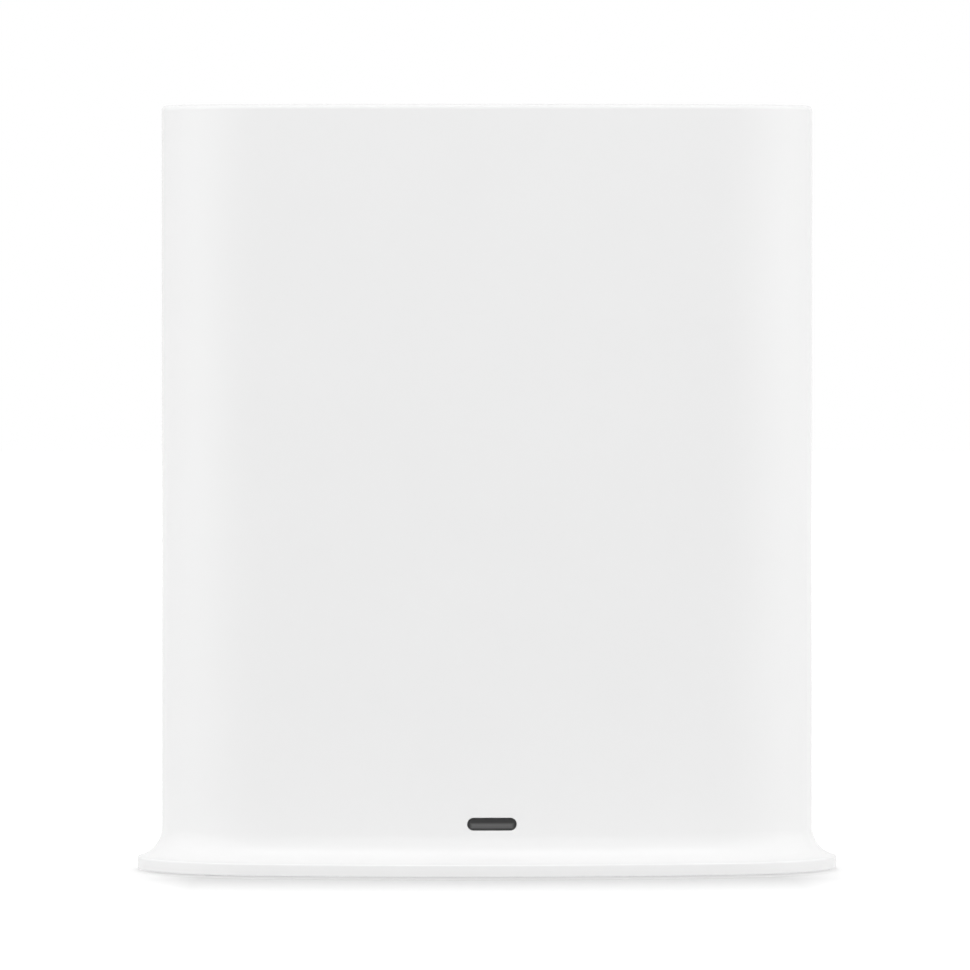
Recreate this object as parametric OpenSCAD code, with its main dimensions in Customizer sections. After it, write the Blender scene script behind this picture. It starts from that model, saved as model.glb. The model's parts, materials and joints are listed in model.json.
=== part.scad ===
// Security camera base station: an upright oval sleeve with a flared foot, a recessed
// port panel at the back, and one board standing inside on that panel.
// Millimetres, +Z up, front towards -Y, the table at z = 0.

/* [Body] */
// Width of the straight body
body_w = 120; // [116:0.5:126]
// Depth of the body at its middle
body_d = 56; // [54:0.5:60]
// Radius of the two rounded ends, seen from above
end_r = 24; // [22:0.5:26]
// Height of the top rim above the table
top_z = 141; // [140:0.2:146]
// Wall of the sleeve
wall = 2.2; // [1.8:0.1:2.6]
// Round along the top rim
top_round = 0.95; // [0.3:0.05:1]

/* [Foot] */
// Reach of the flare
flare = 4.5; // [3.5:0.25:5.5]
// Radius of the flare's hollow curve, which starts upright and ends on the rim
flare_r = 5.5; // [5.5:0.1:6.5]
// Height of the upright rim under the flare
rim_h = 2.2; // [1.4:0.1:2.4]
// Bevel along both edges of the rim
rim_bevel = 0.3; // [0.1:0.05:0.4]
// Gap that the rubber feet leave under the rim
foot_gap = 0.4; // [0.2:0.1:1.2]
// Radius of each rubber foot
foot_r = 4.5; // [3.5:0.1:5]
// Thickness of the bottom plate
plate_t = 1.8; // [1.4:0.1:2.2]

/* [Status light] */
// Width of the lens
lens_w = 8.8; // [6:0.1:12]
// Height of the lens
lens_h = 2.1; // [1.6:0.1:3]
// Height of the lens above the table
lens_z = 9.8; // [9.2:0.1:12]
// Depth of the lens face below the front of the sleeve
lens_inset = 0.25; // [0:0.05:0.6]

/* [Rear bay] */
// Width of the window in the back of the sleeve
window_w = 46; // [44:1:48]
// Lower edge of the window
window_low = 13; // [11:0.5:14]
// How far the port panel reaches above the window
window_lap = 2; // [1:0.1:3]
// Corner radius of the window
window_r = 5; // [2:0.5:8]
// Width of the port panel
panel_w = 54; // [52:0.5:56]
// Thickness of the port panel
panel_t = 2; // [1.6:0.1:2.4]
// Space between the legs of the top cap and the top end of the port panel
panel_gap = 1.3; // [0.6:0.1:2]
// Least space between the sync button and the vent slots
vent_space = 6; // [3:0.5:12]
// Spacing of the vent slots
vent_pitch = 3.6; // [3.2:0.1:3.6]
// Height of one vent slot
vent_h = 2; // [1.4:0.1:2.4]
// Width of the vent slots
vent_w = 34; // [24:1:35]

/* [Board] */
// Width of the board
board_w = 100; // [97:0.5:102]
// Space between the top cap and the top edge of the board
board_gap = 11.9; // [9:0.1:18]
// Thickness of the board
board_t = 1.6; // [1:0.1:2]
// Space between the port panel and the board
board_space = 12.3; // [12:0.1:13]

/* [Sockets and buttons] */
// Height of the power socket
power_z = 24; // [23:0.5:26]
// Height of the network socket
ethernet_z = 42; // [41:0.5:43]
// Height of the host socket for a storage drive
usb_z = 59.5; // [58:0.5:61]
// Height of the reset pinhole
reset_z = 71.5; // [70.5:0.5:72]
// Height of the sync button
sync_z = 83.5; // [82.5:0.5:84]
// Radius of the sync button
sync_r = 5; // [3:0.1:5.2]
// Radius of the power socket's centre pin
power_pin_r = 1; // [0.8:0.05:1.2]
// How far the sync button and the reset stem go in
press_travel = 0.5; // [0.2:0.05:0.5]

/* [Hidden] */
$fn = 64;

// Plan of the body: two end arcs and two wide bows, each bow tangent to both ends.
half_w = body_w / 2;
half_d = body_d / 2;
end_x = half_w - end_r;
bow_r = (end_x * end_x + half_d * half_d - end_r * end_r) / (2 * (half_d - end_r));
bow_y = bow_r - half_d;
bow_lap = 10;
bow_fn = 360;

// Clearances
fit_gap = 0.2;
slot_gap = 0.1;
thread_gap = 0.05;
socket_gap = 0.25;
button_gap = 0.4;
// Pieces of one solid run into each other by this much, and cuts run out by this much.
joint_lap = 1;

// Levels of the foot and the top
rim_low = foot_gap;
rim_top = rim_low + rim_h;
flare_past = flare_r - flare;
flare_top = rim_top + sqrt(flare_r * flare_r - flare_past * flare_past);
plate_inset = 0.2;
plate_low = rim_low + plate_inset;
plate_top = plate_low + plate_t;
plate_rim = 3.5;
plate_out = flare - plate_rim;
cap_rim = 1.2;
cap_inset = 0.3;
cap_t = 2;
cap_top = top_z - cap_inset;
cap_seat = cap_top - cap_t;

// Screw posts stand against the rounded ends, with a foot under each.
post_r = 3.2;
post_bite = 0.5;
post_angle = 47;
post_ring = end_r - wall - post_r + post_bite;
post_x = end_x + post_ring * cos(post_angle);
post_y = post_ring * sin(post_angle);
post_h = 10;
foot_depth = 0.8;
foot_seat = plate_low + foot_depth;
foot_bevel = 0.4;
plate_boss_h = 1.2;
post_low = plate_top + plate_boss_h;
screw_r = 1.2;
screw_head_r = 2.2;
screw_head_h = 1.1;
cross_w = 2.6;
cross_slot = 0.6;
cross_depth = 0.6;
base_screw_len = 7;
base_slot_len = 26;
base_slot_w = 2.5;
base_slot_pitch = 7;
base_slot_side = 4;

// Cap legs and the catches that hold them
land_depth = 4.3;
land_y = half_d - land_depth;
leg_x = 10;
leg_w = 8;
leg_t = 1.4;
leg_space = 1.5;
leg_face = land_y - leg_space;
leg_len = 9.6;
leg_low = cap_seat - leg_len;
nib_reach = 1.2;
nib_h = 1.5;
catch_low = leg_low + nib_h + fit_gap;
catch_h = 1.5;

// Port panel and the window in front of it
panel_top = leg_low - panel_gap;
panel_out = land_y - slot_gap;
panel_in = panel_out - panel_t;
window_high = panel_top - window_lap;
sync_hole_r = sync_r + button_gap;
vent_n = floor((window_high - sync_z - sync_hole_r - vent_space) / vent_pitch);
rail_t = 1.6;
rail_reach = 2;

// Board on its four bosses, with its edges in the guides of the sleeve
board_back = panel_in - board_space;
board_front = board_back - board_t;
board_low = 7;
board_h = cap_seat - board_gap - board_low;
board_top = board_low + board_h;
board_r = 2;
board_hole_r = 1.4;
board_boss_r = 3;
board_boss_x = 21;
board_boss_edge = 7;
board_boss_low = board_low + board_boss_edge;
board_boss_high = board_top - board_boss_edge;
board_screw_len = 8;
guide_t = 1.5;
guide_reach = 2;
guide_space = 2;
guide_drop = 4;
guide_low = post_low + post_h + guide_space;
guide_high = board_top - guide_drop;

// Light path
stake_r = 0.8;
stake_x = 9;
lens_lip = 1.2;
lens_lip_t = 1;
lens_back = -(half_d - wall) + fit_gap + lens_lip_t;
pipe_plate_t = 1.5;
pipe_plate_w = 24;
pipe_plate_h = 5.2;
pipe_w = 7;
pipe_h = 2;
led_w = 3.5;
led_d = 2.8;
led_h = 0.8;
led_gap = 0.5;

// Heat sink stack
chip_z = 75;
chip_w = 14;
chip_h = 1.2;
pad_h = 0.6;
sink_w = 44;
sink_base = 3;
sink_fin_h = 11;
sink_fin_t = 1.2;
sink_fin_n = 9;
sink_ear_w = 8;
sink_ear = 6;
sink_pin_x = 15;
sink_pin_z = sink_w / 2 + sink_ear / 2;
sink_pin_r = 1.3;
sink_pin_head = 1;
sink_pin_head_r = sink_pin_r + 1;
sink_barb_r = sink_pin_r + 0.6;
sink_barb_tip_r = sink_pin_r - 0.3;
sink_barb_h = 1.2;
sink_back = board_front - chip_h - pad_h;
sink_front = sink_back - sink_base;

// Chips, coils and capacitors on the board
memory_x = 32;
memory_step = 9;
memory_w = 8;
memory_h = 12.5;
memory_t = 1;
flash_z = 48;
flash_h = 6;
crystal_x = 20;
crystal_z = 44;
crystal_w = 5;
crystal_h = 3.2;
crystal_t = 1.3;
radio_x = 35;
radio_w = 7;
radio_t = 0.9;
shield_w = 20;
shield_h = 30;
shield_d = 2.5;
shield_t = 0.3;
coil_x = 27;
coil_step = 5;
coil_z = 26;
coil_w = 7;
coil_t = 4;
can_r = 3.15;
can_h = 8;
can_x = 12;
can_low = 20;
can_pitch = 8;
can_single_z = 26;
transformer_x = 17;
transformer_w = 12.7;
transformer_h = 9.5;
transformer_t = 5;

// Antennas of bent sheet
antenna_x = 24.5;
antenna_w = 22;
antenna_h = 8;
antenna_t = 0.4;
antenna_stand = 6;
antenna_drop = 6;
antenna_leg_w = 1.5;
antenna_leg_step = 5;
antenna_low = board_top - antenna_drop - antenna_h;

// Network socket
socket_inset = 0.3;
socket_face = panel_out - socket_inset;
ethernet_w = 16;
ethernet_h = 13.5;
port_w = 11.9;
port_low = -2.2;
port_high = 4.6;
port_base = 1.5;
port_floor = board_back + port_base;
latch_w = 6.2;
latch_low = -3.6;
latch_tip_w = 3.4;
latch_tip_low = -4.6;
contact_n = 8;
contact_pitch = 1.02;
contact_w = 0.4;
contact_t = 0.35;
contact_inset = 2;
contact_bend = 2;
contact_drop = 2.2;
contact_slot = 0.6;
contact_slot_h = 1;
contact_slot_inset = 1.5;
lamp_w = 2.6;
lamp_h = 2;
lamp_x = 5.9;
lamp_z = -4.9;
lamp_base = 2;

// Host socket
usb_w = 13.1;
usb_h = 5.7;
usb_wall = 0.3;
usb_lip = 0.7;
usb_flange_w = usb_w + 2 * usb_lip;
usb_flange_h = usb_h + 2 * usb_lip;
usb_bore_w = usb_w - 2 * usb_wall;
usb_bore_h = usb_h - 2 * usb_wall;
usb_base = 3;
usb_tongue_w = 11.1;
usb_tongue_t = 1.84;
usb_tongue_inset = 1;
usb_strip_near = 1;
usb_strip_far = 3.5;
usb_strip_x = [-usb_strip_far, -usb_strip_near, usb_strip_near, usb_strip_far];
usb_strip_w = 1;
usb_strip_t = 0.3;
usb_strip_inset = 2;

// Power socket
power_w = 9;
power_h = 11;
power_bore_r = 3.15;
power_base = 4.5;
power_floor = board_back + power_base;
power_root_step = 0.5;
power_root_r = power_pin_r + power_root_step;
power_pin_inset = 1;
power_tip = 0.6;
power_tip_y = socket_face - power_pin_inset - power_tip;
spring_w = 2;
spring_t = 0.3;
spring_inset = 1.5;
spring_bow = 0.4;
spring_foot = 1;
spring_slot_w = 2.6;
spring_slot_low = 2;
spring_slot_z = 4.3;
spring_slot_inset = 1;

// Tact switches, from the board up
switch_w = 6;
switch_base_h = 3.2;
switch_floor = 0.7;
switch_pit_r = 2.8;
switch_cover_t = 0.3;
stem_r = 1.6;
stem_lip_r = 2.4;
stem_lip_h = 0.6;
stem_lip_low = switch_base_h - slot_gap - stem_lip_h;
stem_lip_top = stem_lip_low + stem_lip_h;
stem_tip_r = 1;
dome_r = 2.4;
dome_top_r = 1.2;
dome_h = press_travel + thread_gap;
dome_t = 0.12;
stem_tip_low = switch_floor + dome_h + thread_gap;
sync_lip = 1.2;
sync_lip_t = 1;
sync_lip_top = panel_in - slot_gap;
sync_post_r = 1.7;
sync_post_len = 1.6;
sync_stem_top = sync_lip_top - sync_lip_t - sync_post_len;
sync_dish_r = 20;
sync_dish = 0.4;
reset_hole_r = 1;
reset_inset = 1;
reset_stem_top = panel_in - reset_inset;

// A flat shape in x and z, carried through the depth from y0 back to y1.
module along_y(y0, y1) {
  translate([0, y1, 0]) rotate([90, 0, 0]) linear_extrude(y1 - y0) children();
}

module block(x0, x1, y0, y1, z0, z1) {
  translate([x0, y0, z0]) cube([x1 - x0, y1 - y0, z1 - z0]);
}

// A chip-like block, centred at x and z, between two depths.
module chip(x, z, w, h, y0, y1) {
  block(x - w / 2, x + w / 2, y0, y1, z - h / 2, z + h / 2);
}

module pill(w, h) {
  square([w - h, h], center = true);
  for (side = [-1, 1]) translate([side * (w - h) / 2, 0]) circle(h / 2);
}

module rounded(w, h, r) {
  square([w - 2 * r, h], center = true);
  square([w, h - 2 * r], center = true);
  for (sx = [-1, 1], sz = [-1, 1])
    translate([sx * (w / 2 - r), sz * (h / 2 - r)]) circle(r);
}

// The share of the plan that the front bow covers, bounded by the two lines of tangency.
module bow_wedge() {
  near_x = end_x * (1 - bow_lap / bow_y);
  far_x = end_x * (1 + body_d / bow_y);
  polygon([[near_x, bow_lap], [far_x, -body_d], [-far_x, -body_d], [-near_x, bow_lap]]);
}

// Plan of the body, grown outwards all round.
module plan(grow = 0) {
  for (side = [-1, 1]) translate([side * end_x, 0]) circle(end_r + grow);
  for (face = [0, 1]) mirror([0, face]) intersection() {
    translate([0, bow_y]) circle(bow_r + grow, $fn = bow_fn);
    bow_wedge();
  }
}

module prism(z0, z1, grow = 0) {
  translate([0, 0, z0]) linear_extrude(z1 - z0) plan(grow);
}

// Outer profile of the sleeve from the axis of one arc of radius r.
module sleeve_profile(r) {
  difference() {
    polygon([[0, rim_low], [r + flare - rim_bevel, rim_low], [r + flare, rim_low + rim_bevel],
      [r + flare, rim_top - rim_bevel], [r + flare - 2 * rim_bevel, rim_top + rim_bevel],
      [r + flare - 2 * rim_bevel, flare_top], [r, flare_top], [r, top_z - top_round],
      [r - top_round, top_z - top_round], [r - top_round, top_z], [0, top_z]]);
    translate([r + flare_r, flare_top]) circle(flare_r);
  }
  translate([r - top_round, top_z - top_round]) circle(top_round);
}

module sleeve_outside() {
  for (side = [-1, 1]) translate([side * end_x, 0, 0]) rotate_extrude() sleeve_profile(end_r);
  for (face = [0, 1]) mirror([0, face, 0]) intersection() {
    translate([0, bow_y, 0]) rotate_extrude($fn = bow_fn) sleeve_profile(bow_r);
    linear_extrude(top_z + joint_lap) bow_wedge();
  }
}

// Hollow of the sleeve: flat at the back for the panel, wider for the bottom plate and the cap.
module sleeve_hollow() {
  translate([0, 0, plate_low]) linear_extrude(cap_top - plate_low) intersection() {
    plan(-wall);
    translate([-half_w, -half_d]) square([body_w, half_d + land_y]);
  }
  prism(0, plate_top, plate_out);
  prism(cap_seat, top_z + joint_lap, -cap_rim);
}

module at_posts() {
  for (sx = [-1, 1], sy = [-1, 1]) translate([sx * post_x, sy * post_y, 0]) children();
}

module at_board_bosses() {
  for (sx = [-1, 1], z = [board_boss_low, board_boss_high])
    translate([sx * board_boss_x, 0, z]) children();
}

module rod_y(r, y0, y1) {
  along_y(y0, y1) circle(r);
}

module board_guides() {
  for (side = [0, 1], y = [board_front - fit_gap - guide_t, board_back + fit_gap])
    mirror([side, 0, 0])
      block(board_w / 2 - guide_reach, half_w, y, y + guide_t, guide_low, guide_high);
}

module panel_rails() {
  web_x = panel_w / 2 + fit_gap;
  lip_y = panel_in - fit_gap - rail_t;
  root_y = land_y + joint_lap;
  for (side = [0, 1]) mirror([side, 0, 0]) {
    block(web_x, web_x + rail_t, lip_y, root_y, window_low, panel_top);
    block(web_x - rail_reach, web_x + rail_t, lip_y, lip_y + rail_t, window_low, panel_top);
    block(web_x - rail_reach, web_x + rail_t, lip_y, root_y, panel_top, panel_top + rail_t);
  }
}

// A block as wide as a cap leg, at each of the four legs.
module at_legs(y0, y1, z0, z1) {
  for (sx = [-1, 1], face = [0, 1]) mirror([0, face, 0])
    block(sx * leg_x - leg_w / 2, sx * leg_x + leg_w / 2, y0, y1, z0, z1);
}

module cap_catches() {
  at_legs(leg_face + fit_gap, half_d, catch_low, catch_low + catch_h);
}

module housing() {
  color("white") difference() {
    union() {
      difference() {
        sleeve_outside();
        sleeve_hollow();
      }
      intersection() {
        union() {
          at_posts() translate([0, 0, post_low]) cylinder(r = post_r, h = post_h);
          board_guides();
          panel_rails();
          cap_catches();
          for (sx = [-1, 1]) translate([sx * stake_x, 0, lens_z])
            rod_y(stake_r, -half_d, lens_back + pipe_plate_t + joint_lap);
        }
        prism(0, top_z, -wall / 2);
      }
    }
    at_posts() translate([0, 0, post_low - joint_lap])
      cylinder(r = screw_r + thread_gap, h = base_screw_len);
    translate([0, 0, lens_z]) along_y(-body_d, -half_d / 2)
      pill(lens_w + 2 * slot_gap, lens_h + 2 * slot_gap);
    translate([0, 0, (window_low + window_high) / 2]) along_y(panel_in, body_d)
      rounded(window_w, window_high - window_low, window_r);
  }
}

module top_cap() {
  color("white") {
    prism(cap_seat, cap_top, -cap_rim - fit_gap);
    at_legs(leg_face - leg_t, leg_face, leg_low, cap_seat + joint_lap);
    at_legs(leg_face - leg_t, leg_face + nib_reach, leg_low, leg_low + nib_h);
  }
}

module vents() {
  for (i = [1:vent_n]) translate([0, window_high - vent_pitch * i]) pill(vent_w, vent_h);
}

// The panel's cut for a socket, with its clearance all round.
module socket_cut(z, w, h) {
  translate([0, z]) square([w + 2 * socket_gap, h + 2 * socket_gap], center = true);
}

module rear_panel() {
  color("gainsboro") difference() {
    union() {
      along_y(panel_in, panel_out) difference() {
        translate([-panel_w / 2, plate_top]) square([panel_w, panel_top - plate_top]);
        socket_cut(ethernet_z, ethernet_w, ethernet_h);
        socket_cut(usb_z, usb_flange_w, usb_flange_h);
        socket_cut(power_z, power_w, power_h);
        translate([0, reset_z]) circle(reset_hole_r);
        translate([0, sync_z]) circle(sync_hole_r);
        vents();
      }
      at_board_bosses() rod_y(board_boss_r, board_back, panel_in + joint_lap);
    }
    at_board_bosses()
      rod_y(screw_r + thread_gap, board_back - joint_lap, board_front + board_screw_len + joint_lap);
  }
}

module bottom_plate() {
  color("whitesmoke") difference() {
    union() {
      prism(plate_low, plate_top, plate_out - fit_gap);
      at_posts() translate([0, 0, plate_low]) cylinder(r = post_r, h = post_low - plate_low);
    }
    at_posts() {
      cylinder(r = foot_r + slot_gap, h = foot_seat);
      cylinder(r = screw_head_r + fit_gap, h = foot_seat + screw_head_h);
      cylinder(r = screw_r + fit_gap, h = post_low + joint_lap);
    }
    for (i = [-base_slot_side:base_slot_side]) translate([i * base_slot_pitch, 0, 0])
      linear_extrude(plate_top + joint_lap) rotate(90) pill(base_slot_len, base_slot_w);
  }
}

module foot(sx, sy) {
  color("dimgray") translate([sx * post_x, sy * post_y, 0]) {
    cylinder(r1 = foot_r - foot_bevel, r2 = foot_r, h = foot_bevel);
    translate([0, 0, foot_bevel]) cylinder(r = foot_r, h = foot_seat - foot_bevel);
  }
}

module base_screws() {
  color("silver") at_posts() {
    translate([0, 0, foot_seat]) difference() {
      cylinder(r = screw_head_r, h = screw_head_h);
      for (turn = [0, 90]) rotate(turn)
        block(-cross_w / 2, cross_w / 2, -cross_slot / 2, cross_slot / 2, -joint_lap, cross_depth);
    }
    translate([0, 0, foot_seat + screw_head_h]) cylinder(r = screw_r, h = base_screw_len);
  }
}

module main_board() {
  color("darkgreen") difference() {
    translate([0, 0, board_low + board_h / 2]) along_y(board_front, board_back)
      rounded(board_w, board_h, board_r);
    at_board_bosses() rod_y(board_hole_r, board_front - joint_lap, board_back + joint_lap);
    at_sink_pins() rod_y(sink_pin_r + fit_gap, board_front - joint_lap, board_back + joint_lap);
  }
}

module board_screws() {
  head_y = board_front - screw_head_h;
  color("silver") at_board_bosses() {
    difference() {
      rod_y(screw_head_r, head_y, board_front);
      for (turn = [0, 90]) rotate([0, turn, 0])
        chip(0, 0, cross_w, cross_slot, head_y - joint_lap, head_y + cross_depth);
    }
    rod_y(screw_r, board_front, board_front + board_screw_len);
  }
}

module status_lens() {
  color("dimgray") translate([0, 0, lens_z]) {
    along_y(-half_d + lens_inset, lens_back) pill(lens_w, lens_h);
    along_y(lens_back - lens_lip_t, lens_back) pill(lens_w + 2 * lens_lip, lens_h + 2 * lens_lip);
  }
}

module light_pipe() {
  color("lightcyan") translate([0, 0, lens_z]) {
    along_y(lens_back, lens_back + pipe_plate_t) difference() {
      square([pipe_plate_w, pipe_plate_h], center = true);
      for (sx = [-1, 1]) translate([sx * stake_x, 0]) circle(stake_r + slot_gap);
    }
    chip(0, 0, pipe_w, pipe_h, lens_back + joint_lap, board_front - led_h - led_gap);
  }
}

module status_led() {
  color("ivory") chip(0, lens_z, led_w, led_d, board_front - led_h, board_front);
}

module processor() {
  color("black") chip(0, chip_z, chip_w, chip_w, board_front - chip_h, board_front);
}

module thermal_pad() {
  color("lightblue") chip(0, chip_z, chip_w, chip_w, sink_back, sink_back + pad_h);
}

// The two push pins stand at opposite corners of the heat sink.
module at_sink_pins() {
  for (s = [-1, 1]) translate([s * sink_pin_x, 0, chip_z + s * sink_pin_z]) children();
}

module heat_sink() {
  fin_pitch = (sink_w - sink_fin_t) / (sink_fin_n - 1);
  color("lightgray") difference() {
    union() {
      chip(0, chip_z, sink_w, sink_w, sink_front, sink_back);
      for (i = [0:sink_fin_n - 1])
        chip(-sink_w / 2 + sink_fin_t / 2 + i * fin_pitch, chip_z, sink_fin_t, sink_w,
          sink_front - sink_fin_h, sink_front + joint_lap);
      at_sink_pins() chip(0, 0, sink_ear_w, sink_ear + joint_lap, sink_front, sink_back);
    }
    at_sink_pins() rod_y(sink_pin_r + fit_gap, sink_front - joint_lap, sink_back + joint_lap);
  }
}

module heat_sink_pins() {
  color("white") at_sink_pins() {
    rod_y(sink_pin_head_r, sink_front - sink_pin_head, sink_front);
    rod_y(sink_pin_r, sink_front, board_back);
    translate([0, board_back, 0]) rotate([-90, 0, 0])
      cylinder(r1 = sink_barb_r, r2 = sink_barb_tip_r, h = sink_barb_h);
  }
}

module memory_chips() {
  color("black") for (s = [-1, 1])
    chip(memory_x, chip_z + s * memory_step, memory_w, memory_h, board_front - memory_t, board_front);
}

module flash_chip() {
  color("black") chip(memory_x, flash_z, memory_w, flash_h, board_front - memory_t, board_front);
}

module clock_crystal() {
  color("silver")
    chip(crystal_x, crystal_z, crystal_w, crystal_h, board_front - crystal_t, board_front);
}

module radio_chip() {
  color("black") chip(-radio_x, chip_z, radio_w, radio_w, board_front - radio_t, board_front);
}

module radio_shield() {
  lid_y = board_front - shield_d;
  color("silver") difference() {
    chip(-radio_x, chip_z, shield_w, shield_h, lid_y, board_front);
    chip(-radio_x, chip_z, shield_w - 2 * shield_t, shield_h - 2 * shield_t,
      lid_y + shield_t, board_front + joint_lap);
  }
}

// A bent-sheet antenna: a flat arm held off the board by its feed leg and its earth leg.
module antenna() {
  arm_y = board_front - antenna_stand;
  color("gold") {
    block(antenna_x, antenna_x + antenna_w, arm_y, arm_y + antenna_t,
      antenna_low, antenna_low + antenna_h);
    for (x = [antenna_x, antenna_x + antenna_leg_step])
      block(x, x + antenna_leg_w, arm_y, board_front, antenna_low, antenna_low + antenna_t);
  }
}

module antenna_left() {
  mirror([1, 0, 0]) antenna();
}

module antenna_right() {
  antenna();
}

module power_inductors() {
  color("dimgray") for (s = [-1, 1])
    chip(-coil_x + s * coil_step, coil_z, coil_w, coil_w, board_front - coil_t, board_front);
}

module bulk_capacitors() {
  places = [[can_x, can_low], [can_x, can_low + can_pitch], [-can_x, can_single_z]];
  color("slategray") for (p = places) translate([p[0], 0, p[1]])
    rod_y(can_r, board_back, board_back + can_h);
}

module ethernet_transformer() {
  color("black") chip(-transformer_x, ethernet_z, transformer_w, transformer_h,
    board_back, board_back + transformer_t);
}

module ethernet_jack() {
  mouth = socket_face + joint_lap;
  color("black") translate([0, 0, ethernet_z]) difference() {
    chip(0, 0, ethernet_w, ethernet_h, board_back, socket_face);
    block(-port_w / 2, port_w / 2, port_floor, mouth, port_low, port_high);
    block(-latch_w / 2, latch_w / 2, port_floor, mouth, latch_low, port_low + joint_lap);
    block(-latch_tip_w / 2, latch_tip_w / 2, port_floor, mouth, latch_tip_low, latch_low + joint_lap);
    at_contacts() block(-contact_slot / 2, contact_slot / 2, board_back - joint_lap,
      socket_face - contact_slot_inset, port_high - joint_lap, port_high + contact_slot_h);
    for (sx = [-1, 1]) chip(sx * lamp_x, lamp_z, lamp_w, lamp_h, board_back + lamp_base, mouth);
  }
}

module at_contacts() {
  for (i = [0:contact_n - 1])
    translate([(i - (contact_n - 1) / 2) * contact_pitch, 0, 0]) children();
}

// Each spring contact stands in its slot, turns at the mouth and slopes back into the port.
module ethernet_contacts() {
  tall = port_high + contact_slot_h - slot_gap;
  turn_y = socket_face - contact_inset;
  tip_y = port_floor + joint_lap;
  tip_z = port_high - contact_drop;
  color("gold") translate([0, 0, ethernet_z]) at_contacts() translate([-contact_w / 2, 0, 0])
    rotate([90, 0, 90]) linear_extrude(contact_w)
      polygon([[board_back, tall], [turn_y, tall], [turn_y, tall - contact_t], [tip_y, tip_z],
        [tip_y, tip_z + contact_t], [turn_y - contact_bend, tall - contact_t],
        [board_back, tall - contact_t]]);
}

module ethernet_lamps() {
  color("lightgreen") translate([0, 0, ethernet_z]) for (sx = [-1, 1])
    chip(sx * lamp_x, lamp_z, lamp_w - 2 * slot_gap, lamp_h - 2 * slot_gap,
      board_back + lamp_base, socket_face);
}

module usb_shell() {
  color("silver") translate([0, 0, usb_z]) difference() {
    union() {
      chip(0, 0, usb_w, usb_h, board_back, socket_face);
      chip(0, 0, usb_flange_w, usb_flange_h, socket_face - usb_wall, socket_face);
    }
    chip(0, 0, usb_bore_w, usb_bore_h, board_back - joint_lap, socket_face + joint_lap);
  }
}

module usb_tongue() {
  root_y = board_back + usb_base;
  color("black") translate([0, 0, usb_z]) {
    difference() {
      chip(0, 0, usb_bore_w - 2 * slot_gap, usb_bore_h - 2 * slot_gap, board_back, root_y);
      for (x = usb_strip_x) chip(x, 0, usb_strip_w + 2 * slot_gap, 2 * usb_strip_t + 2 * slot_gap,
        board_back - joint_lap, root_y + joint_lap);
    }
    block(-usb_tongue_w / 2, usb_tongue_w / 2, root_y - joint_lap, socket_face - usb_tongue_inset,
      usb_strip_t + slot_gap, usb_strip_t + slot_gap + usb_tongue_t);
  }
}

module usb_contacts() {
  color("gold") translate([0, 0, usb_z]) for (x = usb_strip_x)
    block(x - usb_strip_w / 2, x + usb_strip_w / 2, board_back, socket_face - usb_strip_inset,
      slot_gap, slot_gap + usb_strip_t);
}

module power_jack() {
  color("black") translate([0, 0, power_z]) difference() {
    chip(0, 0, power_w, power_h, board_back, socket_face);
    rod_y(power_bore_r, power_floor, socket_face + joint_lap);
    rod_y(power_root_r + thread_gap, board_back - joint_lap, power_floor + joint_lap);
    block(-spring_slot_w / 2, spring_slot_w / 2, board_back - joint_lap,
      socket_face - spring_slot_inset, spring_slot_low, spring_slot_z);
  }
}

// The pin is held by a thicker root under the floor of its bore.
module power_pin() {
  color("silver") translate([0, 0, power_z]) {
    rod_y(power_root_r, board_back, power_floor);
    rod_y(power_pin_r, power_floor, power_tip_y);
    translate([0, power_tip_y, 0]) rotate([-90, 0, 0])
      cylinder(r1 = power_pin_r, r2 = power_pin_r - power_tip / 2, h = power_tip);
  }
}

// A leaf that presses on the plug's barrel: upright in its slot, then bowed into the bore.
module power_spring() {
  back = spring_slot_z - slot_gap;
  top = socket_face - spring_inset;
  low = power_floor + spring_foot;
  knee = (top + power_floor) / 2;
  color("goldenrod") translate([-spring_w / 2, 0, power_z]) rotate([90, 0, 90])
    linear_extrude(spring_w)
      polygon([[board_back, back], [top, back], [top, back - spring_t],
        [knee, power_bore_r - spring_bow], [low, back - 2 * spring_t], [low, back - spring_t],
        [board_back, back - spring_t]]);
}

module sync_button() {
  color("gray") translate([0, 0, sync_z]) {
    difference() {
      rod_y(sync_r, sync_lip_top - joint_lap, panel_out);
      translate([0, panel_out + sync_dish_r - sync_dish, 0]) sphere(sync_dish_r);
    }
    rod_y(sync_r + sync_lip, sync_lip_top - sync_lip_t, sync_lip_top);
    rod_y(sync_post_r, sync_stem_top, sync_lip_top);
  }
}

module switch_base() {
  color("black") difference() {
    chip(0, 0, switch_w, switch_w, board_back, board_back + switch_base_h);
    rod_y(switch_pit_r, board_back + switch_floor, board_back + switch_base_h + joint_lap);
  }
}

module switch_cover() {
  low = board_back + switch_base_h;
  color("silver") difference() {
    chip(0, 0, switch_w, switch_w, low, low + switch_cover_t);
    rod_y(stem_r + button_gap, low - joint_lap, low + joint_lap);
  }
}

module switch_stem(top) {
  color("darkred") {
    rod_y(stem_r, board_back + stem_lip_low, top);
    rod_y(stem_lip_r, board_back + stem_lip_low, board_back + stem_lip_top);
    rod_y(stem_tip_r, board_back + stem_tip_low, board_back + stem_lip_top);
  }
}

// The snap disc under a stem, which gives the click and pushes the stem back.
module switch_dome() {
  color("lightgray") translate([0, board_back + switch_floor, 0]) rotate([-90, 0, 0])
    rotate_extrude()
      polygon([[dome_r, 0], [dome_r, dome_t], [dome_top_r, dome_h], [0, dome_h],
        [0, dome_h - dome_t], [dome_top_r, dome_h - dome_t], [dome_r - dome_t, 0]]);
}

module at_sync() {
  translate([0, 0, sync_z]) children();
}

module at_reset() {
  translate([0, 0, reset_z]) children();
}

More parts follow.
